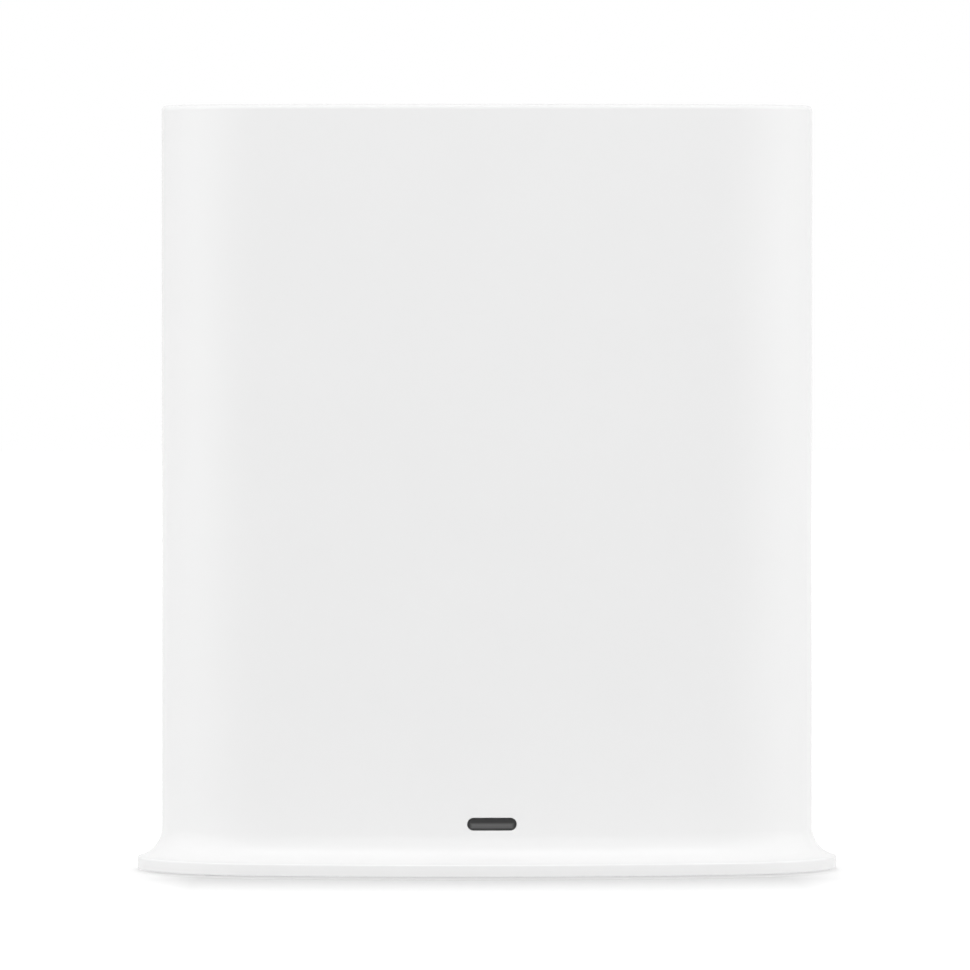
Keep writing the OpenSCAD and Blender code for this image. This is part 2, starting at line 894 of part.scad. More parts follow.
housing();
top_cap();
rear_panel();
bottom_plate();
foot(-1, -1);  // foot_front_left
foot(1, -1);  // foot_front_right
foot(-1, 1);  // foot_rear_left
foot(1, 1);  // foot_rear_right
base_screws();
main_board();
board_screws();
status_lens();
light_pipe();
status_led();
processor();
thermal_pad();
heat_sink();
heat_sink_pins();
memory_chips();
flash_chip();
clock_crystal();
radio_chip();
radio_shield();
antenna_left();
antenna_right();
power_inductors();
bulk_capacitors();
ethernet_transformer();
ethernet_jack();
ethernet_contacts();
ethernet_lamps();
usb_shell();
usb_tongue();
usb_contacts();
power_jack();
power_pin();
power_spring();
sync_button();
at_sync() switch_base();  // sync_switch_base
at_sync() switch_cover();  // sync_switch_cover
at_sync() switch_dome();  // sync_switch_dome
at_sync() switch_stem(sync_stem_top);  // sync_switch_stem
at_reset() switch_base();  // reset_switch_base
at_reset() switch_cover();  // reset_switch_cover
at_reset() switch_dome();  // reset_switch_dome
at_reset() switch_stem(reset_stem_top);  // reset_switch_stem
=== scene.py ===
# %% [markdown]
# # Dressing a security camera base station
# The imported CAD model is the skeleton: it says where every piece sits, how large it is and how it
# moves. This lesson loads it, then builds the pieces that show with Blender's own mesh operators,
# gives every piece a procedural finish, and sets up a plain studio with a camera in front.
# Meshes are modelled in millimetres, because the numbers stay readable, and made metres at the end.

# %% Load the frame
import json
import math

import bmesh
import bpy
from mathutils import Matrix, Vector

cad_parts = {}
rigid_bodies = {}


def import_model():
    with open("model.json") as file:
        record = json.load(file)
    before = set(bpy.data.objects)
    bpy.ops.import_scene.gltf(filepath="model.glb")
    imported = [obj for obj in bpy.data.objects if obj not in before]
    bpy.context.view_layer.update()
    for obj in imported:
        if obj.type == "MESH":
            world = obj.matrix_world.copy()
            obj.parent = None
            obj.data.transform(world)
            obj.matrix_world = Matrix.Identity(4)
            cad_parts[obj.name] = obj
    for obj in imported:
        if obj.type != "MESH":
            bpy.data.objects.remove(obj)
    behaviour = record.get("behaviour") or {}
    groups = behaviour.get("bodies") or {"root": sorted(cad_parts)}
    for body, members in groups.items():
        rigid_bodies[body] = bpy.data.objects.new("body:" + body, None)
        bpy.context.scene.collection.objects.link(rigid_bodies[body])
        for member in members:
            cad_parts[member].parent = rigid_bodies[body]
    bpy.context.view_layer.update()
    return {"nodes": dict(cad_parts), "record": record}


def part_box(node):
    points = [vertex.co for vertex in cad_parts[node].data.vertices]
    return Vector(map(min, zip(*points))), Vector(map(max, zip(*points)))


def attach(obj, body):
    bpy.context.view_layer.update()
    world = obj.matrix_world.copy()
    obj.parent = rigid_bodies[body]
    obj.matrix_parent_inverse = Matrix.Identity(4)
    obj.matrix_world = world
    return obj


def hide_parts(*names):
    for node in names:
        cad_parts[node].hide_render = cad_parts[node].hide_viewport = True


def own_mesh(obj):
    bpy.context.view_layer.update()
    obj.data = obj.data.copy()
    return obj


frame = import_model()
scene = bpy.context.scene
MM = 0.001


def cad_box(node):
    """Lowest and highest corner of a CAD node, in millimetres."""
    low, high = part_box(node)
    return low / MM, high / MM


# %% [markdown]
# ## Camera
# The picture was taken from a little over two metres with a long lens: the foot's lower edge sags
# by only ten pixels of seven hundred. The camera stands slightly to the left, just below the top
# rim, and looks down a little, so the body narrows slightly towards the floor.
# Aiming an object with a track quaternion keeps the horizon level without any constraint.

# %% Aim the camera
IMAGE_PX, SENSOR_MM, SIGHT_END_M = 970, 36, 50
PX_PER_MM = 5.419
CAMERA_FAR = 2100
CAMERA_TURN = math.radians(-1.8)
CAMERA_EYE = 117.6
AIM = Vector((-0.4, 0, 71.02))

camera_data = bpy.data.cameras.new("front_camera")
camera = bpy.data.objects.new("front_camera", camera_data)
scene.collection.objects.link(camera)
eye = Vector((CAMERA_FAR * math.sin(CAMERA_TURN), -CAMERA_FAR * math.cos(CAMERA_TURN), CAMERA_EYE))
camera.location = eye * MM
camera.rotation_euler = (AIM - eye).to_track_quat("-Z", "Y").to_euler()
camera_data.sensor_width = SENSOR_MM
camera_data.lens = SENSOR_MM * (AIM - eye).length * PX_PER_MM / IMAGE_PX
camera_data.clip_end = SIGHT_END_M
scene.camera = camera
print("camera lens:", round(camera_data.lens, 1), "mm")

# %% [markdown]
# ## Floor and light
# A product table: a matt white top whose front edge lies just below the picture, lit by a strip
# above the object, a large soft box at each side, one over the camera and one far behind, and an
# even fill all round. The strip lights the top and the flare, the side boxes lift the rounded ends,
# and the satin plastic mirrors the open, darker side of the room where the camera stands. The low
# boxes would be mirrored as white spots in the foot and the flat top, so mirrored rays don't see
# them, and see the plain room instead.

# %% Studio values
scene.view_settings.view_transform = "Standard"
WORLD_FILL = 0.6
ROOM_DARK, ROOM_BRIGHT = 0.15, 0.96
ROOM_FRONT, ROOM_SIDE = -0.85, -0.1
TABLE_FRONT, TABLE_BACK, TABLE_SIDE = -0.3, 4.0, 4.0
TABLE_TONE = 0.58
LAMP_AIM = Vector((0, 0, 0.07))
# Place and size in metres, power in watts.
SOFT_BOXES = {
    "back_box": ((0.0, 2.5, 0.9), (2.0, 1.0), 8.0),
    "top_strip": ((0.0, -0.5, 1.5), (1.6, 0.6), 4.0),
    "left_box": ((-1.2, 0.0, 0.4), (2.0, 0.8), 6.5),
    "right_box": ((1.2, 0.0, 0.4), (2.0, 0.8), 6.5),
    "front_box": ((0.0, -2.5, 0.9), (2.0, 1.0), 18.9),
}


def seen_directly(tree):
    """A value that is 1 for camera, glossy and transmission rays, and 0 for light bouncing about."""
    path = tree.nodes.new("ShaderNodeLightPath")
    value = path.outputs["Is Camera Ray"]
    for kind in ("Is Glossy Ray", "Is Transmission Ray"):
        either = tree.nodes.new("ShaderNodeMath")
        either.operation = "MAXIMUM"
        tree.links.new(value, either.inputs[0])
        tree.links.new(path.outputs[kind], either.inputs[1])
        value = either.outputs[0]
    return path, value


# %% [markdown]
# The world has two strengths, chosen by the kind of ray. Light that bounces about gets the even
# fill. Rays from the camera, and rays mirrored or passed on by a surface, see white, and mirrored
# rays see it fade towards the camera's side, where the room is dark.

# %% World
world = bpy.data.worlds.new("white_studio")
world.use_nodes = True
scene.world = world
tree = world.node_tree
fill = tree.nodes["Background"]
fill.inputs["Color"].default_value = (1, 1, 1, 1)
fill.inputs["Strength"].default_value = WORLD_FILL
path, direct = seen_directly(tree)
heading = tree.nodes.new("ShaderNodeTexCoord")
parts = tree.nodes.new("ShaderNodeSeparateXYZ")
tree.links.new(heading.outputs["Generated"], parts.inputs[0])
room = tree.nodes.new("ShaderNodeMapRange")
room.interpolation_type = "SMOOTHSTEP"
room.inputs["From Min"].default_value = ROOM_FRONT
room.inputs["From Max"].default_value = ROOM_SIDE
room.inputs["To Min"].default_value = ROOM_DARK
room.inputs["To Max"].default_value = ROOM_BRIGHT
tree.links.new(parts.outputs["Y"], room.inputs["Value"])
brightness = tree.nodes.new("ShaderNodeMath")
brightness.operation = "MAXIMUM"
tree.links.new(room.outputs["Result"], brightness.inputs[0])
tree.links.new(path.outputs["Is Camera Ray"], brightness.inputs[1])
white = tree.nodes.new("ShaderNodeBackground")
white.inputs["Color"].default_value = (1, 1, 1, 1)
tree.links.new(brightness.outputs[0], white.inputs["Strength"])
choose = tree.nodes.new("ShaderNodeMixShader")
tree.links.new(direct, choose.inputs[0])
tree.links.new(fill.outputs[0], choose.inputs[1])
tree.links.new(white.outputs[0], choose.inputs[2])
tree.links.new(choose.outputs[0], tree.nodes["World Output"].inputs["Surface"])
print("world:", world.name)

# %% [markdown]
# The table is matt white with a glow that only the camera and mirrored rays see. The glow is
# painted light: it lifts the far table and the table beside the object to white, and in front of
# the foot it grows slowly, so that it paints the short grey shadow there, narrower further out, and
# under the foot it paints light into the gap below the rim. In front, its strength depends on the
# distance from the foot's outline, which Math nodes work out: the outline is made of arcs, so inside
# each arc's sector it is the distance from the arc's centre, less its radius.

# %% Table glow
FOOT_END_X, FOOT_END_R = 0.036, 0.0285
FOOT_BOW_Y, FOOT_BOW_R = 0.160, 0.1925
# Where the painted shadow in front of the foot starts and ends, how it narrows, and how bright the
# painted light is.
SHADOW_NEAR, SHADOW_FAR = -0.022, 0.058
SHADOW_SIDE, BESIDE_START, RIM_FRONT, SHADOW_TAPER = 0.044, 0.072, 0.0325, 0.25
BEHIND_START, BEHIND_END = -0.012, 0.012
FAR_START, FAR_END, GAP_SOFT = 0.3, 3.0, 0.0005
BASE_GLOW, FRONT_GLOW, BESIDE_GLOW, FAR_GLOW, GAP_PAINTED_LIGHT = 0.06, 0.4, 0.44, 0.3, 0.6


def number(tree, operation, first, second=0.0):
    """The result of one sum on two values, each a socket or a plain number."""
    sum_node = tree.nodes.new("ShaderNodeMath")
    sum_node.operation = operation
    for socket, value in zip(sum_node.inputs, (first, second)):
        if isinstance(value, bpy.types.NodeSocket):
            tree.links.new(value, socket)
        else:
            socket.default_value = value
    return sum_node.outputs[0]


def smooth_step(tree, value, start, end, level=1.0):
    """A value that rises smoothly from 0 to a level between two points."""
    ramp = tree.nodes.new("ShaderNodeMapRange")
    ramp.interpolation_type = "SMOOTHSTEP"
    ramp.inputs["From Min"].default_value = start
    ramp.inputs["From Max"].default_value = end
    ramp.inputs["To Max"].default_value = level
    tree.links.new(value, ramp.inputs["Value"])
    return ramp.outputs["Result"]


def far_from(tree, x, y):
    """The length of a flat vector."""
    squares = [number(tree, "MULTIPLY", side, side) for side in (x, y)]
    return number(tree, "SQRT", number(tree, "ADD", *squares))


def foot_distance(tree, x, y):
    """Distance in metres from the foot's outline, negative inside it."""
    x, y = number(tree, "ABSOLUTE", x), number(tree, "ABSOLUTE", y)
    from_bow = number(tree, "ADD", y, FOOT_BOW_Y)
    bow = number(tree, "SUBTRACT", far_from(tree, x, from_bow), FOOT_BOW_R)
    past_end = number(tree, "MAXIMUM", number(tree, "SUBTRACT", x, FOOT_END_X), 0.0)
    end = number(tree, "SUBTRACT", far_from(tree, past_end, y), FOOT_END_R)
    meeting = number(tree, "MULTIPLY", from_bow, FOOT_END_X / FOOT_BOW_Y)
    in_end = number(tree, "GREATER_THAN", x, meeting)
    step = number(tree, "MULTIPLY", in_end, number(tree, "SUBTRACT", end, bow))
    return number(tree, "ADD", bow, step)


# %% Table finish
table_white = bpy.data.materials.new("table_white")
table_white.use_nodes = True
tree = table_white.node_tree
tree.nodes.remove(tree.nodes["Principled BSDF"])
matt = tree.nodes.new("ShaderNodeBsdfDiffuse")
matt.inputs["Color"].default_value = (TABLE_TONE, TABLE_TONE, TABLE_TONE, 1)
place = tree.nodes.new("ShaderNodeTexCoord")
axes = tree.nodes.new("ShaderNodeSeparateXYZ")
tree.links.new(place.outputs["Object"], axes.inputs[0])
x, y = axes.outputs["X"], axes.outputs["Y"]
outside = foot_distance(tree, x, y)
ahead = number(tree, "MAXIMUM", number(tree, "SUBTRACT", -RIM_FRONT, y), 0.0)
taper = number(tree, "MULTIPLY", ahead, SHADOW_TAPER)
spread_out = number(tree, "ADD", number(tree, "ABSOLUTE", x), taper)
beside = smooth_step(tree, spread_out, SHADOW_SIDE, BESIDE_START, BESIDE_GLOW)
behind = smooth_step(tree, y, BEHIND_START, BEHIND_END, BESIDE_GLOW)
# Painted shadow: the glow stays low near the foot's front and beside its ends, and rises further out.
painted_light = smooth_step(tree, outside, SHADOW_NEAR, SHADOW_FAR, FRONT_GLOW)
painted_light = number(tree, "MAXIMUM", painted_light, number(tree, "MAXIMUM", beside, behind))
far = smooth_step(tree, far_from(tree, x, y), FAR_START, FAR_END, FAR_GLOW)
painted_light = number(tree, "ADD", painted_light, far)
# Painted light under the foot, so that the shaded gap below the rim shows grey, not black.
painted_gap_light = smooth_step(tree, outside, GAP_SOFT, -GAP_SOFT, GAP_PAINTED_LIGHT)
painted_light = number(tree, "MAXIMUM", painted_light, painted_gap_light)
painted_light = number(tree, "ADD", painted_light, BASE_GLOW)
path, direct = seen_directly(tree)
glow = tree.nodes.new("ShaderNodeEmission")
tree.links.new(number(tree, "MULTIPLY", painted_light, direct), glow.inputs["Strength"])
add = tree.nodes.new("ShaderNodeAddShader")
tree.links.new(matt.outputs[0], add.inputs[0])
tree.links.new(glow.outputs[0], add.inputs[1])
tree.links.new(add.outputs[0], tree.nodes["Material Output"].inputs["Surface"])
print("table finish:", len(tree.nodes), "nodes")

# %% Table top
bm = bmesh.new()
bmesh.ops.create_grid(bm, x_segments=1, y_segments=1, size=1)
bmesh.ops.scale(bm, vec=(TABLE_SIDE, (TABLE_BACK - TABLE_FRONT) / 2, 1), verts=bm.verts)
bmesh.ops.translate(bm, vec=(0, (TABLE_BACK + TABLE_FRONT) / 2, 0), verts=bm.verts)
table_mesh = bpy.data.meshes.new("table_top")
bm.to_mesh(table_mesh)
bm.free()
table_mesh.materials.append(table_white)
table_top = bpy.data.objects.new("table_top", table_mesh)
scene.collection.objects.link(table_top)
print("table reaches", TABLE_FRONT, "to", TABLE_BACK, "m")

# %% Soft boxes
for name, (place, size, power) in SOFT_BOXES.items():
    lamp = bpy.data.lights.new(name, "AREA")
    lamp.shape = "RECTANGLE"
    lamp.size, lamp.size_y = size
    lamp.energy = power
    holder = bpy.data.objects.new(name, lamp)
    scene.collection.objects.link(holder)
    holder.location = place
    holder.visible_glossy = name == "top_strip"
    holder.rotation_euler = (LAMP_AIM - Vector(place)).to_track_quat("-Z", "Y").to_euler()
print("lights:", list(SOFT_BOXES))

# %% [markdown]
# ## Finishes
# Moulded plastic is never one flat colour: the tool leaves a fine grain, the tone drifts by a
# percent or two, and the gloss changes with the grain. One helper builds that from two noises, a
# fine one for grain, gloss and bump and a broad one for tone, all on Object coordinates, so that a
# pattern keeps its real size on every piece. Brushed and rolled metal is the same noise, stretched
# along the direction in which the sheet was worked.

# %% Colour helpers
def display(level):
    """The linear value of a display level from 0 to 255."""
    share = level / 255
    return share / 12.92 if share <= 0.04045 else ((share + 0.055) / 1.055) ** 2.4


def grey(level):
    """A neutral linear colour from a display level."""
    return [display(level)] * 3


# %% Texture helpers
def noise(tree, size_mm, detail, stretch=(1, 1, 1)):
    """A noise of a given grain on the piece's own coordinates, longer along the stretched axes."""
    place = tree.nodes.new("ShaderNodeTexCoord")
    mapping = tree.nodes.new("ShaderNodeMapping")
    mapping.inputs["Scale"].default_value = [1 / share for share in stretch]
    pattern = tree.nodes.new("ShaderNodeTexNoise")
    pattern.inputs["Scale"].default_value = 1 / (size_mm * MM)
    pattern.inputs["Detail"].default_value = detail
    tree.links.new(place.outputs["Object"], mapping.inputs["Vector"])
    tree.links.new(mapping.outputs["Vector"], pattern.inputs["Vector"])
    return pattern.outputs["Fac"]


def spread(tree, value, low, high, start=0.3, end=0.7):
    """Stretch a part of a value's range over a new range."""
    stretch = tree.nodes.new("ShaderNodeMapRange")
    stretch.inputs["From Min"].default_value = start
    stretch.inputs["From Max"].default_value = end
    stretch.inputs["To Min"].default_value = low
    stretch.inputs["To Max"].default_value = high
    tree.links.new(value, stretch.inputs["Value"])
    return stretch.outputs["Result"]


def blend_colours(tree, factor, first, second):
    """A colour between two plain or linked colours, by a factor from 0 to 1."""
    mix = tree.nodes.new("ShaderNodeMix")
    mix.data_type = "RGBA"
    for socket, colour in ((mix.inputs[6], first), (mix.inputs[7], second)):
        if isinstance(colour, bpy.types.NodeSocket):
            tree.links.new(colour, socket)
        else:
            socket.default_value = (*colour, 1)
    tree.links.new(factor, mix.inputs["Factor"])
    return mix.outputs[2]


# %% Finish helper
GRAIN_DETAIL, CLOUD_DETAIL = 3, 2


def finish(name, colour, tone, rough, grain_mm, depth_mm, cloud_mm=25, metal=0.0, ior=1.46,
           stretch=(1, 1, 1)):
    """A finish: a colour that drifts by a share of tone, and a grain that sets gloss and bump."""
    material = bpy.data.materials.new(name)
    material.use_nodes = True
    tree = material.node_tree
    shader = tree.nodes["Principled BSDF"]
    shader.inputs["Metallic"].default_value = metal
    shader.inputs["IOR"].default_value = ior
    grain = noise(tree, grain_mm, GRAIN_DETAIL, stretch)
    drift = spread(tree, noise(tree, cloud_mm, CLOUD_DETAIL, stretch), 0, 1)
    darker = [part * (1 - tone) for part in colour]
    tree.links.new(blend_colours(tree, drift, darker, colour), shader.inputs["Base Color"])
    tree.links.new(spread(tree, grain, rough[0], rough[1]), shader.inputs["Roughness"])
    bump = tree.nodes.new("ShaderNodeBump")
    bump.inputs["Distance"].default_value = depth_mm * MM
    tree.links.new(grain, bump.inputs["Height"])
    tree.links.new(bump.outputs["Normal"], shader.inputs["Normal"])
    return material


# %% [markdown]
# ### Plastics and rubber
# The shell is satin white, the panel and the tray behind and below it carry a spark-eroded texture
# that hides finger marks, and the sockets and chips are black with a duller skin. Each row gives
# the colour, how far its tone drifts, the range of its roughness, and the grain's size and depth.

# %% Plastic and rubber finishes
FINISHES = {
    "white_shell": finish("shell_white", grey(240), 0.008, (0.262, 0.272), 0.35, 0.0003),
    "panel_plastic": finish("panel_grey", grey(228), 0.03, (0.42, 0.58), 0.22, 0.012),
    "base_plastic": finish("tray_grey", grey(232), 0.03, (0.42, 0.58), 0.25, 0.012),
    "button_plastic": finish("button_grey", grey(222), 0.02, (0.24, 0.34), 0.2, 0.003),
    "foot_rubber": finish("foot_rubber", grey(96), 0.15, (0.7, 0.85), 0.3, 0.02, 4),
    "chip_black": finish("chip_black", grey(46), 0.25, (0.5, 0.7), 0.12, 0.008, 2),
    "socket_black": finish("socket_black", grey(38), 0.2, (0.3, 0.42), 0.2, 0.004, 5),
    "stem_plastic": finish("stem_dark", grey(88), 0.1, (0.35, 0.5), 0.15, 0.004, 3),
    "pin_nylon": finish("pin_nylon", [0.80, 0.78, 0.72], 0.04, (0.3, 0.42), 0.3, 0.004, 4),
    "pad_silicone": finish("pad_silicone", [0.42, 0.58, 0.70], 0.12, (0.65, 0.85), 0.4, 0.03, 3),
    "coil_ferrite": finish("coil_ferrite", grey(104), 0.3, (0.55, 0.75), 0.15, 0.012, 1.2),
}
print("plastics:", len(FINISHES))

# %% [markdown]
# ### Metals
# Plated screws, tinned sheet, gold-washed contacts, the drawn cans and the heat sink are bare metal,
# so their colour is the colour of the mirror image. What tells them apart is the direction and the
# size of the marks left by rolling, drawing or extruding, which the stretch gives.

# %% Metal finishes
FINISHES.update({
    "screw_steel": finish("zinc_steel", [0.60, 0.60, 0.62], 0.1, (0.25, 0.42), 0.3, 0.004, 2, 1.0),
    "tinned_sheet": finish("tinned_sheet", [0.68, 0.68, 0.68], 0.12, (0.2, 0.36), 0.25, 0.003, 3, 1.0,
                           stretch=(1, 6, 1)),
    "contact_brass": finish("contact_gold", [0.83, 0.62, 0.25], 0.08, (0.14, 0.26), 0.2, 0.001, 2, 1.0,
                            stretch=(1, 8, 1)),
    "can_aluminium": finish("can_aluminium", [0.60, 0.62, 0.66], 0.06, (0.22, 0.36), 0.2, 0.003, 3, 1.0,
                            stretch=(1, 5, 1)),
    "sink_aluminium": finish("sink_aluminium", [0.70, 0.70, 0.72], 0.08, (0.3, 0.46), 0.25, 0.006, 4,
                             1.0, stretch=(1, 1, 12)),
})
print("finishes:", len(FINISHES))

# %% [markdown]
# ### Clear and coloured plastics
# The light guide is clear acrylic, the network lamps are green-tinted resin, and the light itself
# is a drop of yellow phosphor. They start as plastic rows and then let light through: Transmission
# for clear resin, Subsurface for the milky drop.

# %% Clear finishes
PHOSPHOR_REACH_MM = (0.4, 0.4, 0.3)
FINISHES.update({
    "clear_plastic": finish("clear_guide", [0.86, 0.91, 0.93], 0.03, (0.03, 0.1), 0.5, 0.001, 6,
                            ior=1.49),
    "lamp_green": finish("lamp_green", [0.30, 0.62, 0.26], 0.1, (0.08, 0.16), 0.4, 0.002, 2, ior=1.5),
    "led_white": finish("lamp_phosphor", [0.90, 0.84, 0.50], 0.06, (0.15, 0.3), 0.15, 0.003, 1.5),
})
for slot, socket, share in (("clear_plastic", "Transmission Weight", 0.9),
                            ("lamp_green", "Transmission Weight", 0.35),
                            ("led_white", "Subsurface Weight", 0.2)):
    shader = FINISHES[slot].node_tree.nodes["Principled BSDF"]
    shader.inputs[socket].default_value = share
shader.inputs["Subsurface Radius"].default_value = [reach * MM for reach in PHOSPHOR_REACH_MM]
print("finishes:", len(FINISHES))

# %% [markdown]
# ### Board
# A printed board is green varnish over copper tracks. The Brick texture draws long narrow bars in
# rows, which is what a bundle of tracks looks like. It is laid both ways, and the cells of a coarse
# Voronoi texture choose which way the tracks run in each part of the board. A fine Voronoi texture
# adds tinned dots where tracks go through to the other side.

# %% Board textures
TRACK_MM, GAP_MM, TRACK_LEN_MM, TRACK_SOFT = 0.9, 0.22, 11, 0.3


def tracks(tree, across, along):
    """How much gap lies under the varnish, for tracks in rows along one of the board's directions."""
    flat = tree.nodes.new("ShaderNodeCombineXYZ")
    tree.links.new(along, flat.inputs["X"])
    tree.links.new(across, flat.inputs["Y"])
    rows = tree.nodes.new("ShaderNodeTexBrick")
    rows.inputs["Scale"].default_value = 1 / MM
    rows.inputs["Brick Width"].default_value = TRACK_LEN_MM
    rows.inputs["Row Height"].default_value = TRACK_MM
    rows.inputs["Mortar Size"].default_value = GAP_MM
    rows.inputs["Mortar Smooth"].default_value = TRACK_SOFT
    tree.links.new(flat.outputs[0], rows.inputs["Vector"])
    return rows.outputs["Fac"]


def cells(tree, size_mm, output):
    """A Voronoi texture with cells of a given size."""
    place = tree.nodes.new("ShaderNodeTexCoord")
    pattern = tree.nodes.new("ShaderNodeTexVoronoi")
    pattern.inputs["Scale"].default_value = 1 / (size_mm * MM)
    tree.links.new(place.outputs["Object"], pattern.inputs["Vector"])
    return pattern.outputs[output]


# %% Board finish
PATCH_MM, DOT_PITCH_MM = 16, 3.2
PATCH_EDGE, DOT_EDGE = (0.49, 0.51), (0.12, 0.16)
COPPER_GREEN, TIN = [0.05, 0.27, 0.10], [0.75, 0.72, 0.66]

board_green = finish("board_green", [0.02, 0.15, 0.06], 0.1, (0.22, 0.34), 0.3, 0.002)
tree = board_green.node_tree
shader = tree.nodes["Principled BSDF"]
place = tree.nodes.new("ShaderNodeTexCoord")
axes = tree.nodes.new("ShaderNodeSeparateXYZ")
tree.links.new(place.outputs["Object"], axes.inputs[0])
level_rows = tracks(tree, axes.outputs["Z"], axes.outputs["X"])
upright_rows = tracks(tree, axes.outputs["X"], axes.outputs["Z"])
patch = tree.nodes.new("ShaderNodeSeparateColor")
tree.links.new(cells(tree, PATCH_MM, "Color"), patch.inputs[0])
pick = spread(tree, patch.outputs["Red"], 0, 1, *PATCH_EDGE)
varnish = shader.inputs["Base Color"].links[0].from_socket
gaps = blend_colours(tree, pick, level_rows, upright_rows)
tracked = blend_colours(tree, gaps, COPPER_GREEN, varnish)
dots = spread(tree, cells(tree, DOT_PITCH_MM, "Distance"), 1, 0, *DOT_EDGE)
tree.links.new(blend_colours(tree, dots, tracked, TIN), shader.inputs["Base Color"])
FINISHES["board_green"] = board_green
print("finish:", board_green.name)

# %% [markdown]
# ## Plan of the body
# Seen from above the body is an oval of four arcs: two tight ends and two wide bows that meet them
# without a kink. So any upright shape of this body is one profile, spun round the centre of the
# right end, then of the back bow, the left end and the front bow, until it meets itself.
# The profile itself is drawn with a pen: a vertex is extruded along lines and spun along arcs.

# %% Plan helpers
END_X, END_R = 36, 24
BOW_Y = 160
END_HALF = math.degrees(math.atan2(BOW_Y, END_X))
END_STEPS, BOW_STEPS = 56, 24
SIDE = END_X + END_R
MERGE = 0.001


def pen_line(bm, vert, out, height):
    """Extrude the profile's last vertex to a point that lies out from the body's side."""
    new = bmesh.ops.extrude_vert_indiv(bm, verts=[vert])["verts"][0]
    new.co = (SIDE + out, 0, height)
    return new


def pen_arc(bm, vert, out, height, degrees, steps):
    """Turn the profile's last vertex about a centre that lies out from the body's side."""
    made = bmesh.ops.spin(bm, geom=[vert], cent=(SIDE + out, 0, height), axis=(0, 1, 0),
                          angle=math.radians(degrees), steps=steps)
    return next(item for item in made["geom_last"] if isinstance(item, bmesh.types.BMVert))


# %% Sweep round the plan
def sweep_plan(bm):
    """Spin the profile in bm round the four arcs of the plan, close the seam and fill both ends."""
    bmesh.ops.rotate(bm, verts=bm.verts, cent=(END_X, 0, 0),
                     matrix=Matrix.Rotation(math.radians(-END_HALF), 3, "Z"))
    ring = bm.verts[:] + bm.edges[:]
    end, bow = (2 * END_HALF, END_STEPS), (180 - 2 * END_HALF, BOW_STEPS)
    turns = [((END_X, 0, 0), *end), ((0, -BOW_Y, 0), *bow),
             ((-END_X, 0, 0), *end), ((0, BOW_Y, 0), *bow)]
    for centre, degrees, steps in turns:
        made = bmesh.ops.spin(bm, geom=ring, cent=centre, axis=(0, 0, 1),
                              angle=math.radians(degrees), steps=steps)
        ring = made["geom_last"]
    bmesh.ops.remove_doubles(bm, verts=bm.verts, dist=MERGE)
    bmesh.ops.holes_fill(bm, edges=[e for e in bm.edges if e.is_boundary], sides=0)
    bmesh.ops.recalc_face_normals(bm, faces=bm.faces)


def plan_prism(out, low, high):
    """An upright prism of the plan, grown outwards, between two heights."""
    bm = bmesh.new()
    pen_line(bm, bm.verts.new((SIDE + out, 0, low)), out, high)
    sweep_plan(bm)
    return bm


# %% [markdown]
# ## Cutting and finishing pieces
# Openings are cut the way a tool would: a cutter is modelled, and a Boolean modifier takes it away.
# Ribs and posts are joined on in the same way, and the result is baked into the mesh and welded,
# because a Boolean doubles some vertices, which would leave slits. A Bevel modifier then breaks
# every edge by a fraction of a millimetre, because a real moulding has no knife edges, and that
# thin highlight is what makes a plain white object readable. Weighted normals keep the large faces
# flat in the light.

# %% Piece helpers
def raw_object(name, bm):
    """Make an object in metres from a bmesh in millimetres."""
    bmesh.ops.scale(bm, vec=(MM, MM, MM), verts=bm.verts)
    mesh = bpy.data.meshes.new(name)
    bm.to_mesh(mesh)
    bm.free()
    made = bpy.data.objects.new(name, mesh)
    scene.collection.objects.link(made)
    return made


# %% Cutting helpers
WELD = 0.004


def weld(mesh):
    """Merge the vertices that a Boolean doubles where two faces lie in one plane."""
    bm = bmesh.new()
    bm.from_mesh(mesh)
    bmesh.ops.remove_doubles(bm, verts=bm.verts, dist=WELD * MM)
    bmesh.ops.dissolve_degenerate(bm, edges=bm.edges, dist=WELD * MM)
    bm.to_mesh(mesh)
    bm.free()


def combine(piece, tools, operation):
    """Cut each tool's shape out of a piece, or join it on, and bake the result into its mesh."""
    for bm in tools:
        tool = raw_object("tool", bm)
        step = piece.modifiers.new("step", "BOOLEAN")
        step.operation = operation
        step.solver = "EXACT"
        step.object = tool
        ready = piece.evaluated_get(bpy.context.evaluated_depsgraph_get())
        mesh = bpy.data.meshes.new_from_object(ready)
        weld(mesh)
        piece.modifiers.remove(step)
        old, piece.data = piece.data, mesh
        bpy.data.meshes.remove(old)
        spent = tool.data
        bpy.data.objects.remove(tool)
        bpy.data.meshes.remove(spent)


def cut_away(piece, tools):
    """Take each tool's shape away from a piece."""
    combine(piece, tools, "DIFFERENCE")


def join_on(piece, tools):
    """Add each tool's shape to a piece."""
    combine(piece, tools, "UNION")


# %% Dressing helper
def dress(piece, slot, body, nodes, edge_mm=0.2, edge_steps=3, angle=32):
    """Smooth a piece, break its edges, give it its finish, and tie it to the frame."""
    piece.data.materials.clear()
    piece.data.materials.append(FINISHES[slot])
    piece.data.shade_smooth()
    if edge_mm:
        edge = piece.modifiers.new("broken_edges", "BEVEL")
        edge.width = edge_mm * MM
        edge.segments = edge_steps
        edge.limit_method = "ANGLE"
        edge.angle_limit = math.radians(angle)
        edge.use_clamp_overlap = False
        edge.miter_outer = "MITER_ARC"
    weighted = piece.modifiers.new("weighted_normals", "WEIGHTED_NORMAL")
    weighted.keep_sharp = False
    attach(piece, body)
    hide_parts(*nodes)
    print("piece:", piece.name, len(piece.data.polygons), "faces")
    return piece


# %% Shape helpers
UPRIGHT, BACKWARD = (0, 0, 1), (0, 1, 0)
